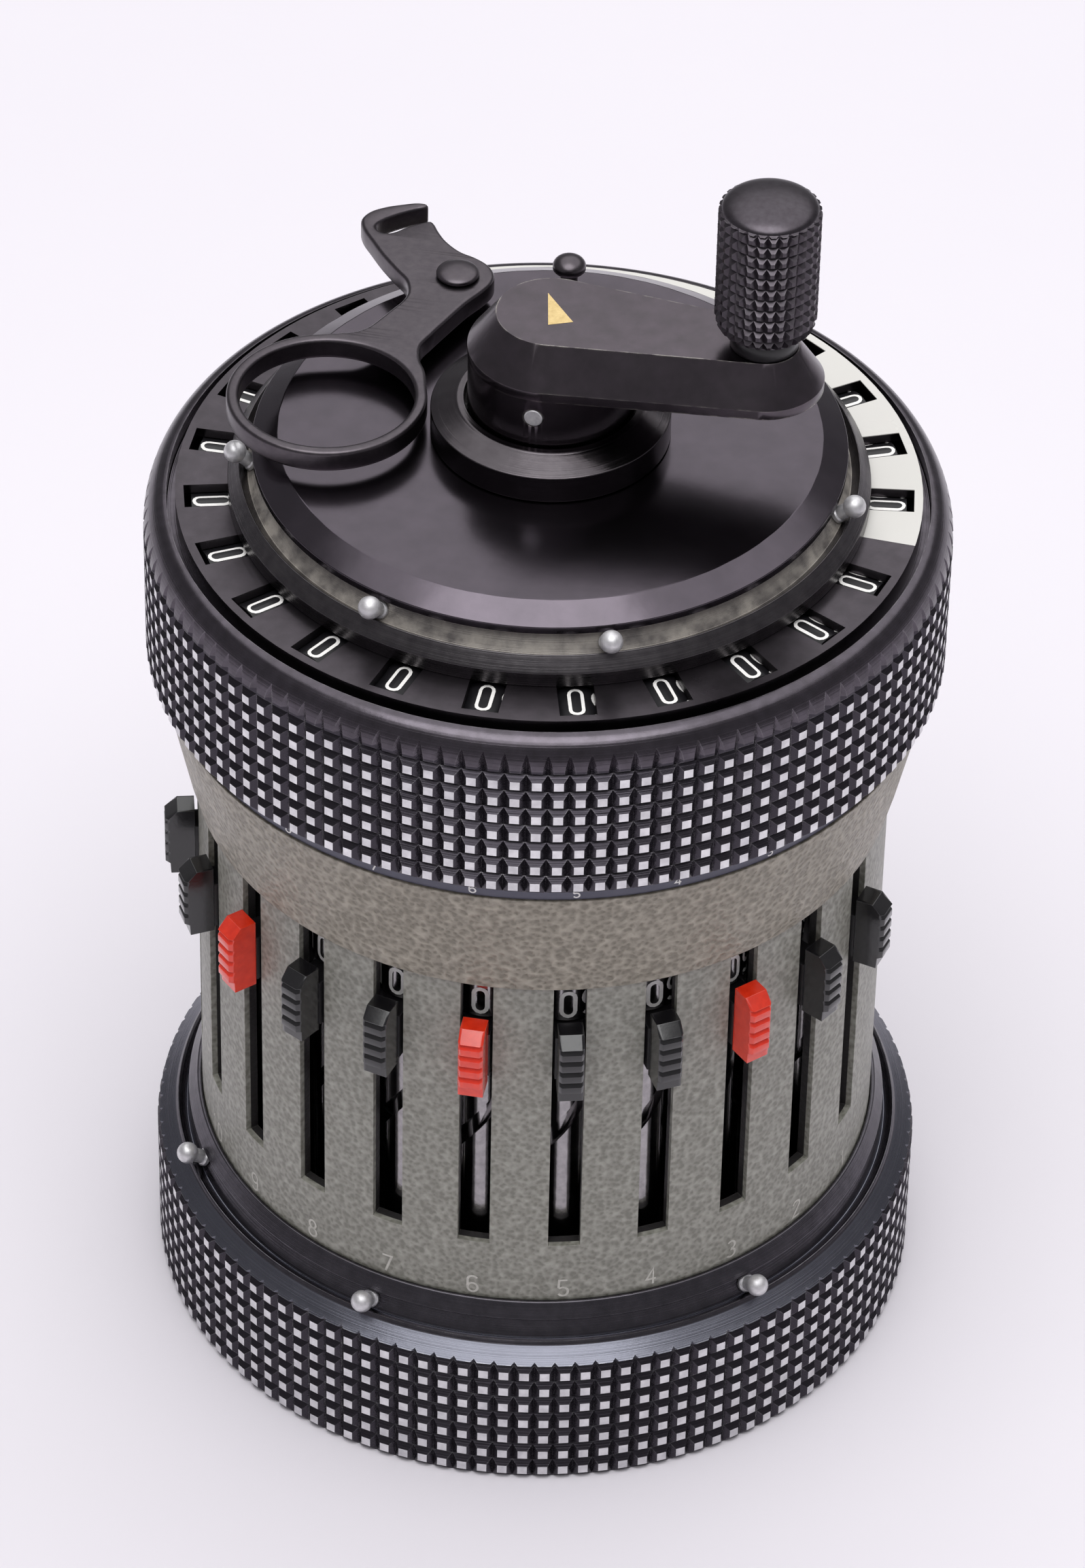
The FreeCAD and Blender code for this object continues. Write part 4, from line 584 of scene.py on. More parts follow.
# knurling: one column of square pyramids with cut-off tips, its grooves running out above
def knurlColumn(name, knurl):
    half = math.pi / knurl["columns"]
    tipHalf = knurl["tipWidth"] / 2 / knurl["radius"]
    depth = knurl["depth"]
    radiusAt = knurl.get("radiusAt", lambda height: knurl["radius"])
    points = []
    faces = []

    def pair(radius, angle, height):
        points.extend((around(radius, -angle, height), around(radius, angle, height)))
        return len(points) - 2, len(points) - 1

    slope = (knurl["pitch"] - knurl["tipHeight"]) / 2
    for row in range(knurl["rows"]):
        foot = knurl["foot"] + row * knurl["pitch"]
        top = foot + knurl["pitch"]
        low = pair(radiusAt(foot) - depth, half, foot)
        high = pair(radiusAt(top) - depth, half, top)
        tipLow = pair(radiusAt(foot + slope), tipHalf, foot + slope)
        tipHigh = pair(radiusAt(top - slope), tipHalf, top - slope)
        faces += [(low[0], low[1], tipLow[1], tipLow[0]),
                  (tipLow[0], tipLow[1], tipHigh[1], tipHigh[0]),
                  (tipHigh[0], tipHigh[1], high[1], high[0]),
                  (low[0], tipLow[0], tipHigh[0], high[0]),
                  (low[1], high[1], tipHigh[1], tipLow[1])]
    top = knurl["foot"] + knurl["rows"] * knurl["pitch"]
    bottomRadius = radiusAt(top) - depth
    below = pair(bottomRadius, half, top)
    belowLand = below
    spread = (half - tipHalf) / depth
    for radius, height in knurl["runOut"]:
        sunk = max(radius - bottomRadius, 0.0)
        land = pair(radius, half - sunk * spread, height)
        groove = pair(min(bottomRadius, radius), half, height) if sunk > 0 else land
        faces.append((belowLand[0], belowLand[1], land[1], land[0]))
        if sunk > 0 or belowLand != below:
            faces.append((below[0], belowLand[0], land[0], groove[0]))
            faces.append((belowLand[1], below[1], groove[1], land[1]))
        below, belowLand = groove, land
    faces = [tuple(dict.fromkeys(face)) for face in faces]
    return newPiece(name, meshFrom(name, points, [f for f in faces if len(f) > 2],
                                   ["ringBlack"]))


# a ring turned from its outline, with the knurling round it
def knurledRing(name, ring, outline, finish, node):
    column = knurlColumn("knurlColumn", ring)
    piece = newPiece(name, turnedMesh(name, outline, finish, ring["turnSteps"]))
    ringOfCopies(piece, column, ring["columns"], fullTurn / ring["columns"], finish,
                 tipFinish="bareTips", tipsBeyond=(ring["radius"] - ring["tipMargin"]) * mm)
    low, high = ring["foot"] * mm, (ring["foot"] + ring["rows"] * ring["pitch"]) * mm
    for face in piece.data.polygons:
        if face.material_index and not low < face.center.z < high:
            face.material_index = 0
    shadeByAngle(piece.data, ring["sharpFrom"])
    rideWith(piece, node)


bothRings = dict(
    columns=120, rows=7, radius=32.5, tipMargin=0.03, edge=0.12, turnSteps=360, sharpFrom=28)

# carriage ring
carriageRing = dict(
    **bothRings, pitch=1.7, foot=64.5, tipWidth=0.76, tipHeight=0.78, depth=0.46, rimInner=30.6,
    rimFoot=76.3, rimAcross=1.9, rimUp=3.2, rimSteps=14, runOutAbove=0.42, runOutSteps=6,
    bore=29.6, ledge=29.0, ledgeTop=78.2, ledgeFoot=76.6, boreFoot=64.5)


def makeCarriageRing(ring):
    start = ring["foot"] + ring["rows"] * ring["pitch"] + ring["runOutAbove"]
    bottom = ring["radius"] - ring["depth"]
    runStart = math.degrees(math.asin((start - ring["rimFoot"]) / ring["rimUp"]))
    runEnd = math.degrees(math.acos((bottom - ring["rimInner"]) / ring["rimAcross"]))
    rim = [ring[word] for word in ("rimInner", "rimFoot", "rimAcross", "rimUp")]
    ring["runOut"] = arcLine(*rim, runStart, runEnd, ring["runOutSteps"])
    smooth = arcLine(*rim, runEnd, 90, ring["rimSteps"])
    inner = easeCorners([smooth[-1], (ring["rimInner"], ring["ledgeTop"]),
                         (ring["ledge"], ring["ledgeTop"]), (ring["ledge"], ring["ledgeFoot"]),
                         (ring["bore"], ring["ledgeFoot"]), (ring["bore"], ring["boreFoot"]),
                         (bottom, ring["boreFoot"])], ring["edge"])
    knurledRing("carriageRingKnurled", ring, smooth[:-1] + inner, "ringBlack", "carriage_ring")


# base ring
baseRing = dict(
    **bothRings, pitch=1.82, foot=0.09, tipWidth=0.8, tipHeight=0.84, depth=0.44, bevelFoot=12.9,
    bevelTop=(30.9, 14.1), runOutShares=(0.1, 0.16, 0.22), coneTop=(29.0, 17.2), grooveAt=2.4,
    grooveWidth=1.7, grooveDepth=0.9, bore=28.65, coverSeat=30.3, coverTop=2.0)


# a square groove cut into a slope that falls outwards
def slopeGroove(top, bottom, offset, width, depth):
    start = Vector(top)
    along = (Vector(bottom) - start).normalized()
    inward = Vector((along.y, -along.x))
    return [tuple(start + along * (offset - width / 2)),
            tuple(start + along * (offset - width / 2) + inward * depth),
            tuple(start + along * (offset + width / 2) + inward * depth),
            tuple(start + along * (offset + width / 2))]


def makeBaseRing(ring):
    bottom = ring["radius"] - ring["depth"]
    edge = Vector((ring["radius"], ring["bevelFoot"]))
    bevel = Vector(ring["bevelTop"]) - edge
    ring["runOut"] = [tuple(edge + bevel * share)
                      for share in (*ring["runOutShares"], ring["depth"] / -bevel.x)]
    groove = slopeGroove(ring["coneTop"], ring["bevelTop"], ring["grooveAt"],
                         ring["grooveWidth"], ring["grooveDepth"])
    outline = [ring["runOut"][-1], ring["bevelTop"], *reversed(groove), ring["coneTop"],
               (ring["bore"], ring["coneTop"][1]), (ring["bore"], ring["coverTop"]),
               (ring["coverSeat"], ring["coverTop"]), (ring["coverSeat"], 0.0),
               (bottom, 0.0), (bottom, ring["foot"])]
    knurledRing("baseRingKnurled", ring, easeCorners(outline, ring["edge"]), "baseRingBlack",
                "base_ring")


makeBaseRing(baseRing)
makeCarriageRing(carriageRing)
print("knurled rings made")

# grip
grip = dict(
    columns=28, rows=11, radius=4.03, pitch=1.0, foot=98.65, tipWidth=0.3, tipHeight=0.36,
    depth=0.34, chamferTo=99.9, chamfer=0.6, runOutTo=((0.05, 0.12), (0.34, 0.26)), domeRadius=3.8,
    domeUp=0.1, domeSteps=14, top=110.9, bore=1.35, boreTop=108.6, skirt=0.1, turnSteps=120,
    sharpFrom=30, centre=(16.887, -0.649))


def makeGrip(grip):
    def radiusAt(height):
        rise = min(1.0, (height - grip["foot"]) / (grip["chamferTo"] - grip["foot"]))
        return grip["radius"] - grip["chamfer"] * (1 - rise) ** 2

    grip["radiusAt"] = radiusAt
    top = grip["foot"] + grip["rows"] * grip["pitch"]
    grip["runOut"] = [(grip["radius"] - inward, top + up) for inward, up in grip["runOutTo"]]
    column = knurlColumn("gripColumn", grip)
    domeFoot = top + grip["domeUp"]
    dome = arcLine(0, domeFoot, grip["domeRadius"], grip["top"] - domeFoot, 0, 90,
                   grip["domeSteps"])
    footRadius = radiusAt(grip["foot"]) - grip["depth"]
    lowest = grip["foot"] - grip["skirt"]
    outline = [(grip["radius"] - grip["depth"], top), *dome[:-1], (0.0, grip["top"]),
               (0.0, grip["boreTop"]), (grip["bore"], grip["boreTop"]), (grip["bore"], lowest),
               (footRadius, lowest), (footRadius, grip["foot"])]
    name = "crankGripKnurled"
    piece = newPiece(name, turnedMesh(name, outline, "gripBlack", grip["turnSteps"]))
    ringOfCopies(piece, column, grip["columns"], fullTurn / grip["columns"], "gripBlack")
    piece.data.transform(Matrix.Translation(Vector((*grip["centre"], 0)) * mm))
    shadeByAngle(piece.data, grip["sharpFrom"])
    rideWith(piece, "crank_grip")


makeGrip(grip)
print("grip made")

# CAD nodes whose shape is right: the finish, the width of their broken edges and its steps
softened = dict(
    body_tube=("hammertonePaint", 0.1, 2), upper_casing=("cratedPaint", 0.1, 2),
    position_ring=("bandPaint", 0.06, 2), base_plate=("turnedAluminium", 0.1, 1),
    base_screws=("steel", 0.08, 1), window_plate=("windowPaint", 0.07, 2),
    marker_ring=("markerRingBlack", 0.07, 2), clearing_plate=("plateBlack", 0.07, 2),
    hub_collar=("collarBlack", 0.08, 2), crank_arm=("armBlack", 0.06, 2),
    crank_pin=("aluminium", 0.1, 2), grip_spindle=("blackenedSteel", 0.06, 1),
    reversing_lever=("blackPlastic", 0.2, 3))
for node, (finish, width, segments) in softened.items():
    softenedCopy(node, finish, width, segments)

# the casing's lower rim stands half a millimetre clear of the first digit of each drum
casingRim = dict(below=51.3, up=0.5)
for vertex in bpy.data.objects["upper_casingFinished"].data.vertices:
    if vertex.co.z < casingRim["below"] * mm:
        vertex.co.z += casingRim["up"] * mm

# the carriage spring gets its own mesh; in use it is pressed together towards the nut as the
# carriage is lifted
spring = softenedCopy("carriage_spring", "steel")
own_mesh(spring)
print("softened copies made,", len(softened) + 1)

# clearing lever: finger ring, neck, head on its rivet, and a hooked tail open towards its tip
lever = dict(
    foot=86.3, thick=1.9, edge=0.34, edgeSteps=3, sharpFrom=40, ringCentre=(-17.64, -2.42),
    ringRadius=8.0, holeRadius=7.0, holeSteps=96, ringStart=20.0, ringEnd=-259.0, ringSteps=20,
    lineSteps=6, rivet=(-10.52, 15.19), rivetHole=1.05, rivetSteps=40,
    neckLeft=[(-18.3, 5.7), (-17.2, 6.1), (-16.3, 6.9), (-15.6, 8.2), (-14.9, 9.7), (-14.3, 11.0),
              (-14.1, 12.3)],
    tailLeft=[(-14.6, 13.9), (-15.8, 15.3), (-17.2, 17.0), (-18.4, 18.7), (-19.4, 20.2),
              (-19.8, 21.5), (-19.3, 22.7), (-18.2, 23.6)],
    prong=[(-17.0, 24.2), (-15.9, 24.65), (-15.1, 24.7), (-14.8, 24.4), (-15.05, 24.1)],
    slot=[(-15.75, 23.7), (-16.85, 22.9), (-17.8, 22.0), (-18.32, 21.25), (-18.4, 20.65),
          (-18.0, 20.12), (-17.35, 19.98), (-16.7, 20.35), (-16.1, 21.0), (-15.2, 21.75),
          (-14.35, 22.3)],
    tailRight=[(-13.85, 22.1), (-13.2, 21.0), (-12.3, 19.8), (-11.0, 18.7)],
    head=[(-9.6, 18.1), (-8.4, 17.3), (-7.7, 16.2), (-7.65, 15.0), (-8.2, 13.6)],
    neckRight=[(-9.1, 11.9), (-10.1, 9.5), (-11.0, 7.2), (-11.6, 5.4), (-11.3, 3.6), (-10.6, 2.1)])


# a smooth closed line through a few points
def smoothLine(points, steps):
    count = len(points)
    line = []
    for spot in range(count):
        a, b, c, d = (Vector(points[(spot + shift) % count]) for shift in (-1, 0, 1, 2))
        for step in range(steps):
            t = step / steps
            line.append(((b * 2 + (c - a) * t + (a * 2 - b * 5 + c * 4 - d) * t ** 2
                          + (b * 3 - a - c * 3 + d) * t ** 3) / 2)[:])
    return line


def roundLine(centre, radius, start, end, steps):
    return arcLine(*centre, radius, radius, start, end, steps)[:-1]


# a flat plate with rounded edges, cut out along closed lines
def roundedPlate(name, lines, plate, finish):
    curve = bpy.data.curves.new(name, "CURVE")
    curve.dimensions = "2D"
    curve.fill_mode = "BOTH"
    curve.extrude = plate["thick"] / 2 - plate["edge"]
    curve.bevel_depth = plate["edge"]
    curve.bevel_resolution = plate["edgeSteps"]
    curve.offset = -plate["edge"]
    for line in lines:
        spline = curve.splines.new("POLY")
        spline.points.add(len(line) - 1)
        for point, spot in zip(spline.points, line):
            point.co = (*spot, 0, 1)
        spline.use_cyclic_u = True
    holder = newPiece(name + "Curve", curve)
    mesh = evaluatedMesh(holder)
    bpy.data.objects.remove(holder)
    bpy.data.curves.remove(curve)
    middle = plate["foot"] + plate["thick"] / 2
    mesh.transform(Matrix.Scale(mm, 4) @ Matrix.Translation((0, 0, middle)))
    mesh.name = name
    dress(mesh, finish)
    tidyMesh(mesh)
    shadeByAngle(mesh, plate["sharpFrom"])
    return newPiece(name, mesh)


def makeLever(lever):
    outline = roundLine(lever["ringCentre"], lever["ringRadius"], lever["ringStart"],
                        lever["ringEnd"], lever["ringSteps"])
    for part in ("neckLeft", "tailLeft", "prong", "slot", "tailRight", "head", "neckRight"):
        outline += lever[part]
    lines = [smoothLine(outline, lever["lineSteps"]),
             roundLine(lever["ringCentre"], lever["holeRadius"], 0, 360, lever["holeSteps"]),
             roundLine(lever["rivet"], lever["rivetHole"], 0, 360, lever["rivetSteps"])]
    rideWith(roundedPlate("clearingLeverFinished", lines, lever, "leverBlack"), "clearing_lever")


makeLever(lever)


# a small piece turned from its outline and put in its place
def turnedPiece(node, outline, finish, shape, move):
    mesh = turnedMesh(node + "Finished", outline, finish, shape["turnSteps"])
    mesh.transform(move)
    shadeByAngle(mesh, shape["sharpFrom"])
    rideWith(newPiece(node + "Finished", mesh), node)


# rivet and stop stud: stems with domed heads
buttons = dict(
    lever_rivet=dict(
        centre=(-10.52, 15.19), head=1.75, domeFoot=88.5, top=89.0, edgeFoot=88.32,
        stem=[(0.0, 83.7), (1.0, 83.7), (1.0, 85.4), (1.75, 85.4), (1.75, 86.2), (1.0, 86.2),
              (1.0, 88.32)]),
    lever_stop_stud=dict(
        centre=(-1.732, 17.349), head=1.35, domeFoot=89.0, top=89.85, edgeFoot=88.62,
        stem=[(0.0, 83.7), (0.7, 83.7), (0.7, 88.45), (1.1, 88.45)]))
buttonShape = dict(chamferIn=0.08, chamferUp=0.1, domeSteps=10, turnSteps=56, sharpFrom=40)


def makeButton(node, button):
    head, low = button["head"], button["edgeFoot"]
    dome = arcLine(0, button["domeFoot"], head, button["top"] - button["domeFoot"], 0, 90,
                   buttonShape["domeSteps"])
    outline = [*button["stem"], (head - buttonShape["chamferIn"], low),
               (head, low + buttonShape["chamferUp"]), *dome[:-1], (0.0, button["top"])]
    turnedPiece(node, outline, "leverBlack", buttonShape,
                Matrix.Translation(Vector((*button["centre"], 0)) * mm))


for node, button in buttons.items():
    makeButton(node, button)
print("lever made")


# digits as stroked lines

# centre lines of a digit of a given width and height about its middle
def digitLines(digit, width, height):
    a, b = width / 2, height / 2
    six = [arcLine(0, b - a, a, a, 30, 180, 6) + arcLine(0, -b * 0.45, a, b * 0.55, 180, 540, 14)]
    shapes = {
        0: [arcLine(0, b - a, a, a, 0, 180, 6) + arcLine(0, a - b, a, a, 180, 360, 6)
            + [(a, b - a)]],
        1: [[(-a * 0.7, b * 0.62), (0.1 * a, b), (0.1 * a, -b)]],
        2: [arcLine(0, b - a, a, a, 170, -25, 8) + [(-a, -b), (a, -b)]],
        3: [arcLine(0, b * 0.5, a * 0.9, b * 0.5, 140, -90, 8)
            + arcLine(0, -b * 0.5, a, b * 0.5, 90, -140, 8)],
        4: [[(a * 0.4, -b), (a * 0.4, b), (-a, -b * 0.35), (a, -b * 0.35)]],
        5: [[(a * 0.85, b), (-a * 0.75, b), (-a * 0.85, b * 0.1)]
            + arcLine(0, -b * 0.45, a, b * 0.55, 125, -150, 9)],
        6: six,
        7: [[(-a, b), (a, b), (-a * 0.3, -b)]],
        8: [arcLine(0, b * 0.52, a * 0.82, b * 0.48, -90, 270, 12),
            arcLine(0, -b * 0.48, a, b * 0.52, 90, 450, 12)],
        9: [[(-x, -y) for x, y in six[0]]],
    }
    return shapes[digit]


# a flat ribbon along a line, its joints mitred; a line that ends where it began is joined there
ribbonRules = dict(mitreLimit=0.5, joinWithin=1e-6)


def ribbon(line, stroke):
    left = []
    right = []
    spots = [Vector(spot) for spot in line]
    ways = [(after - before).normalized() for before, after in zip(spots, spots[1:])]
    joined = math.dist(line[0], line[-1]) < ribbonRules["joinWithin"]
    comings = [ways[-1] if joined else ways[0], *ways]
    goings = [*ways, ways[0] if joined else ways[-1]]
    for here, coming, going in zip(spots, comings, goings):
        sides = [Vector((-way.y, way.x)) for way in (coming, going)]
        side = (sides[0] + sides[1]).normalized()
        reach = stroke / 2 / max(ribbonRules["mitreLimit"], side.dot(sides[0]))
        left.append(here + side * reach)
        right.append(here - side * reach)
    return left, right


def digitMesh(words, style, seat, points, faces):
    gap = style.get("gap", 0.0)
    across = -(len(words) - 1) * (style["width"] + gap) / 2
    for word in words:
        for line in digitLines(int(word), style["width"], style["tall"]):
            left, right = ribbon(line, style["stroke"])
            first = len(points)
            for a, b in zip(left, right):
                points.append(seat(a.x + across, a.y))
                points.append(seat(b.x + across, b.y))
            for step in range(len(left) - 1):
                spot = first + step * 2
                faces.append((spot, spot + 1, spot + 3, spot + 2))
        across += style["width"] + gap


# a flat place on an upright cylinder about Z, or about another centre
def onCylinder(radius, angle, height, centre=(0.0, 0.0)):
    def seat(across, up):
        x, y, z = around(radius, angle + across / radius, height + up)
        return centre[0] + x, centre[1] + y, z
    return seat


# thin markings that ride with a body
def flatPiece(name, points, faces, finish, body, slot):
    piece = newPiece(name, meshFrom(name, points, faces, [finish]))
    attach(piece, body)


slotNumbers = dict(
    radius=28.6, lift=0.012, height=18.4, width=0.85, tall=1.75, stroke=0.2, gap=0.55, count=11,
    pitch=15.0)
positionNumbers = dict(
    radius=31.2, lift=0.012, height=63.65, width=0.5, tall=0.8, stroke=0.13, gap=0.3, count=8,
    pitch=15.0)
for name, numbers, finish, slot in (
        ("slotNumbers", slotNumbers, "faintWhite", "hammertone"),
        ("positionNumbers", positionNumbers, "digitWhite", "band_blue")):
    points, faces = [], []
    for number in range(1, numbers["count"] + 1):
        seat = onCylinder(numbers["radius"] + numbers["lift"],
                          math.radians(-numbers["pitch"] * number), numbers["height"])
        digitMesh(str(number), numbers, seat, points, faces)
    flatPiece(name, points, faces, finish, "housing", slot)

# setting spindles keep their CAD shape; each drum carries its ten digits
settingDigits = dict(
    circle=24.2, radius=2.9, lift=0.012, height=48.35, width=1.12, tall=2.45, stroke=0.34,
    step=-36.0, count=11, pitch=15.0)
for number in range(1, settingDigits["count"] + 1):
    angle = math.radians(-settingDigits["pitch"] * number)
    centre = around(settingDigits["circle"], angle)
    points, faces = [], []
    for digit in range(10):
        seat = onCylinder(settingDigits["radius"] + settingDigits["lift"],
                          angle + math.radians(settingDigits["step"] * digit),
                          settingDigits["height"], centre)
        digitMesh(str(digit), settingDigits, seat, points, faces)
    flatPiece("settingDigits%d" % number, points, faces, "digitWhite", "spindle_%d" % number,
              "steel")
print("setting digits made")

# register dials: digits lie lengthways on drums whose axles point to the middle
dialDigits = dict(
    radius=3.0, lift=0.012, axisHeight=76.474, along=26.95, width=1.02, tall=2.9, stroke=0.27,
    step=36.0, pitch=15.0,
    sets=(("resultDialDigits", -15.0, 15, -1, "carriage"),
          ("counterDialDigits", 7.5, 7, 1, "carriage"),
          ("unitsDialDigits", 112.5, 1, 1, "units_dial")))


def makeDialFace(dial):
    points, faces = [], []
    reach = dial["radius"] + dial["lift"]
    for digit in range(10):
        def seat(across, up, lead=math.radians(dial["step"] * digit)):
            turnBy = lead - across / reach
            return (dial["along"] - up, -reach * math.sin(turnBy),
                    dial["axisHeight"] + reach * math.cos(turnBy))
        digitMesh(str(digit), dial, seat, points, faces)
    return newPiece("dialFace", meshFrom("dialFace", points, faces, ["digitWhite"]))


# each set runs one way round from its first dial
for name, start, count, way, body in dialDigits["sets"]:
    piece = newPiece(name, bpy.data.meshes.new(name))
    ringOfCopies(piece, makeDialFace(dialDigits), count, math.radians(way * dialDigits["pitch"]),
                 "digitWhite", start=math.radians(start))
    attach(piece, body)
print("dial digits made")

# finger knobs: stepped front, chamfered sides, on the CAD slider's own stem and gear
knob = dict(
    near=28.85, far=31.35, foot=41.4, top=48.0, halfWidth=1.03, frontHalf=0.78, sideBack=0.3,
    topFacet=0.85, topBack=1.05, toothIn=0.4, toothDrop=0.12, lastDrop=0.1, teeth=4,
    toothPitch=1.15, toothShare=0.42, footRound=0.45, edge=0.04, edgeSteps=2, bevelFrom=25,
    sharpFrom=30, stemShows=0.01, red=(3, 6, 9), count=11, pitch=15.0)


def knobOutline(knob):
    height = knob["top"] - knob["topFacet"]
    front = [(knob["near"], knob["top"]), (knob["far"] - knob["topBack"], knob["top"]),
             (knob["far"], height)]
    for tooth in range(knob["teeth"]):
        front.append((knob["far"] - knob["toothIn"], height - knob["toothDrop"]))
        height -= knob["toothPitch"]
        front.append((knob["far"], height + (1 - knob["toothShare"]) * knob["toothPitch"]))
        front.append((knob["far"], height))
    front += [(knob["far"] - knob["toothIn"], height - knob["lastDrop"]),
              (knob["far"] - knob["footRound"], knob["foot"]), (knob["near"], knob["foot"])]
    return front


def makeKnob(name, knob, finish):
    outline = knobOutline(knob)
    sideFar = knob["far"] - knob["sideBack"]
    stations = ((-knob["halfWidth"], sideFar), (-knob["frontHalf"], knob["far"]),
                (knob["frontHalf"], knob["far"]), (knob["halfWidth"], sideFar))
    points = [(min(reach, farthest), across, height)
              for across, farthest in stations for reach, height in outline]
    count = len(outline)
    last = (len(stations) - 1) * count
    faces = [tuple(range(count)), tuple(reversed(range(last, last + count)))]
    for low in range(0, last, count):
        for spot in range(count):
            after = (spot + 1) % count
            faces.append((low + spot, low + count + spot, low + count + after, low + after))
    mesh = meshFrom(name, points, faces, [finish, "blackenedSteel"])
    tidyMesh(mesh)
    piece = newPiece(name, mesh)
    breakEdges(piece, knob["edge"], knob["edgeSteps"], knob["bevelFrom"])
    return piece


def makeSlider(number):
    node = "setting_slider_%d" % number
    angle = math.radians(-knob["pitch"] * number)
    outward = Vector(around(1, angle))
    finish = "redPlastic" if number in knob["red"] else "blackPlastic"
    piece = makeKnob("settingSliderFinished%d" % number, knob, finish)
    piece.data.transform(Matrix.Rotation(angle, 4, "Z"))
    works = weldedShape(nodes[node].data, weld["copied"])
    cut = bmesh.ops.bisect_plane(works, geom=works.verts[:] + works.edges[:] + works.faces[:],
                                 plane_co=outward * (knob["near"] + knob["stemShows"]) * mm,
                                 plane_no=outward, clear_outer=True)
    rim = [item for item in cut["geom_cut"] if isinstance(item, bmesh.types.BMEdge)]
    bmesh.ops.edgenet_fill(works, edges=rim)
    for face in works.faces:
        face.material_index = 1
    works.from_mesh(piece.data)
    putBack(works, piece.data)
    shadeByAngle(piece.data, knob["sharpFrom"])
    rideWith(piece, node)


for number in range(1, knob["count"] + 1):
    makeSlider(number)
print("sliders made")

# ball markers, turned again with finer steps and leaned as the CAD ones are
markers = dict(
    footHeight=0.45, footChamfer=0.1, stem=0.6, ball=0.92, ballHeight=1.9, ballSteps=16,
    groove=0.9, play=0.07, turnSteps=40, sharpFrom=40, baseAngles=(-151.0, -107.0, -43.1),
    topAngles=(-166.9, -113.3, -68.6, -6.0), topGroove=((23.9, 83.5), (25.7, 81.25), 0.6, 1.6))


def makeMarker(node, angle, top, bottom, offset, width):
    foot = width / 2 - markers["play"]
    run = (Vector(bottom) - Vector(top)).normalized()
    mouth = Vector(top) + run * offset
    ball = markers["ball"]
    neck = math.degrees(math.asin(markers["stem"] / ball))
    chamfer = markers["footChamfer"]
    outline = [(0.0, markers["play"]), (foot, markers["play"]),
               (foot, markers["footHeight"] - chamfer), (foot - chamfer, markers["footHeight"]),
               (markers["stem"], markers["footHeight"]),
               *arcLine(0, markers["ballHeight"], ball, ball, neck - 90, 90,
                        markers["ballSteps"])]
    lean = Matrix.Rotation(math.atan2(-run.y, run.x), 4, "Y")
    outward = lean @ Vector((0, 0, 1))
    seat = Vector((mouth.x, 0, mouth.y)) - outward * markers["groove"]
    turn = Matrix.Rotation(math.radians(angle), 4, "Z")
    turnedPiece(node, outline, "aluminium", markers, turn @ Matrix.Translation(seat * mm) @ lean)


baseGroove = [baseRing[word] for word in ("coneTop", "bevelTop", "grooveAt", "grooveWidth")]
for kind, angles, groove in (("base", markers["baseAngles"], baseGroove),
                             ("top", markers["topAngles"], markers["topGroove"])):
    for number, angle in enumerate(angles, start=1):
        makeMarker("%s_marker_%d" % (kind, number), angle, *groove)
print("markers made")

# arrow on the crank arm
arrow = dict(corners=((-0.85, 2.37), (1.79, -1.05), (-0.06, -1.81)), height=97.012)
flatPiece("crankArrow", [(x, y, arrow["height"]) for x, y in arrow["corners"]], [(0, 2, 1)],
          "arrowGold", "crank", "brass")

# nodes that stay as the CAD gives them, under their own finish
carried = dict(
    lower_bearing_plate="turnedAluminium", upper_bearing_plate="turnedAluminium",
    transmission_shafts="steel", ratchet_disc="steel", main_shaft="steel",
    stepped_drum="turnedAluminium", dial_carrier="turnedAluminium", number_dials="dialBlack",
    counter_units_dial="dialBlack", thrust_washer="steel", guide_nut="steel")
for number in range(1, settingDigits["count"] + 1):
    carried["setting_spindle_%d" % number] = "spindleSteel"
for node, finish in carried.items():
    dress(nodes[node].data, finish)
print("CAD nodes finished,", len(carried))

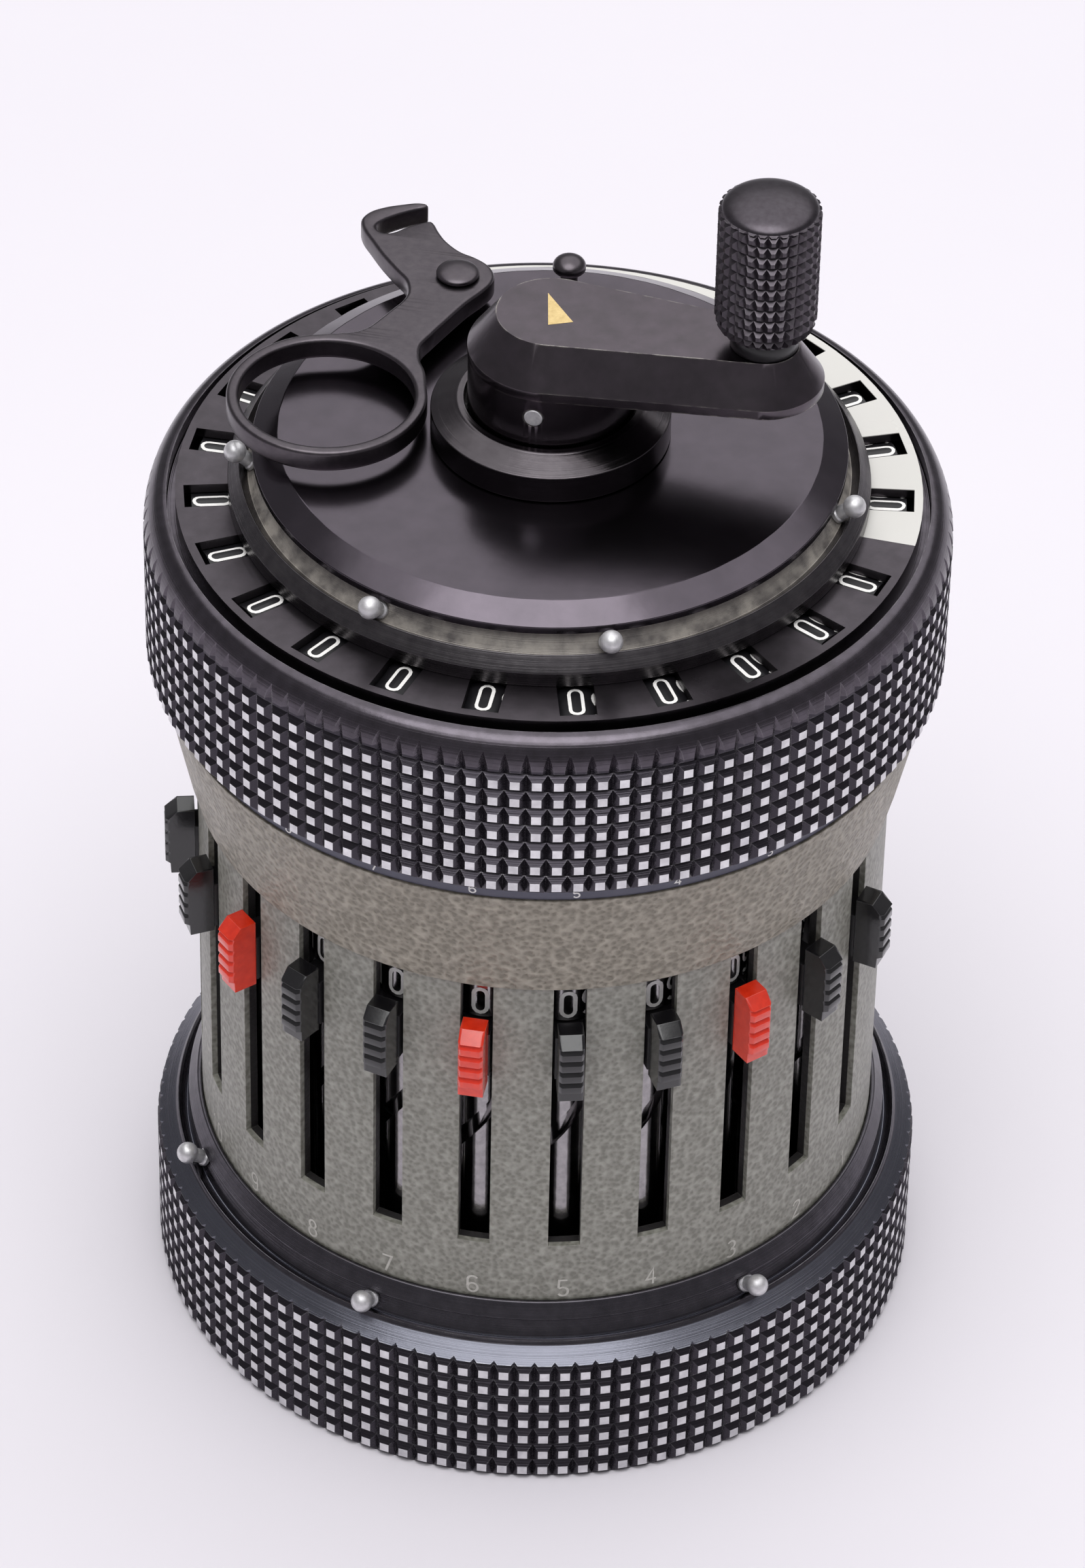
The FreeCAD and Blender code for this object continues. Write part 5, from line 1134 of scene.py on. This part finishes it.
# floor, lamps and camera
studio = dict(
    floorHalf=3000, floorColour=shade(238, 234, 240), floorDeep=shade(234, 230, 237),
    floorGrain=60.0, floorRough=0.85, world={"Color": (0.94, 0.92, 0.97, 1.0), "Strength": 0.27},
    lamps=(("overhead", (0.08, 0.56, 1.0), (1.7, 2.4), 12.8),
           ("front", (0.0, -0.44, 1.01), (1.0, 1.0), 5.8)))
half = studio["floorHalf"]
floor = newPiece("floor", meshFrom("floor", [(-half, -half, 0), (half, -half, 0),
                                             (half, half, 0), (-half, half, 0)],
                                   [(0, 1, 2, 3)], []))
floorFinish, tree, shader = startFinish("floorPaper")
paper = blendColour(tree, grain(tree, studio["floorGrain"]), studio["floorColour"],
                    studio["floorDeep"])
feed(tree, shader.inputs["Base Color"], paper)
feed(tree, shader.inputs["Roughness"], studio["floorRough"])
floor.data.materials.append(floorFinish)

world = bpy.data.worlds.new("studio")
bpy.context.scene.world = world
world.use_nodes = True
for word, item in studio["world"].items():
    world.node_tree.nodes["Background"].inputs[word].default_value = item

for name, spot, size, power in studio["lamps"]:
    lamp = bpy.data.lights.new(name, "AREA")
    lamp.shape = "ELLIPSE"
    lamp.size, lamp.size_y = size
    lamp.energy = power
    newPiece(name, lamp).location = spot

view = dict(
    spot=(0.07489, -0.43494, 0.41799), heading=(-0.1697, 0.9855), pitch=39.92, roll=1.28,
    lens=159.5, sensor=36.0, near=0.01, far=20)
camera = bpy.data.cameras.new("camera")
camera.lens = view["lens"]
camera.sensor_width = view["sensor"]
camera.clip_start = view["near"]
camera.clip_end = view["far"]
cameraHolder = newPiece("camera", camera)
pitch, roll = math.radians(view["pitch"]), math.radians(view["roll"])
ahead = Vector((view["heading"][0] * math.cos(pitch), view["heading"][1] * math.cos(pitch),
                -math.sin(pitch))).normalized()
right = ahead.cross(Vector((0, 0, 1))).normalized()
up = right.cross(ahead)
tiltedRight = right * math.cos(roll) + up * math.sin(roll)
tiltedUp = up * math.cos(roll) - right * math.sin(roll)
stand = Matrix((tiltedRight, tiltedUp, -ahead)).transposed().to_4x4()
cameraHolder.matrix_world = Matrix.Translation(view["spot"]) @ stand
bpy.context.scene.camera = cameraHolder
bpy.context.scene.view_settings.view_transform = "Standard"

print("scene done")
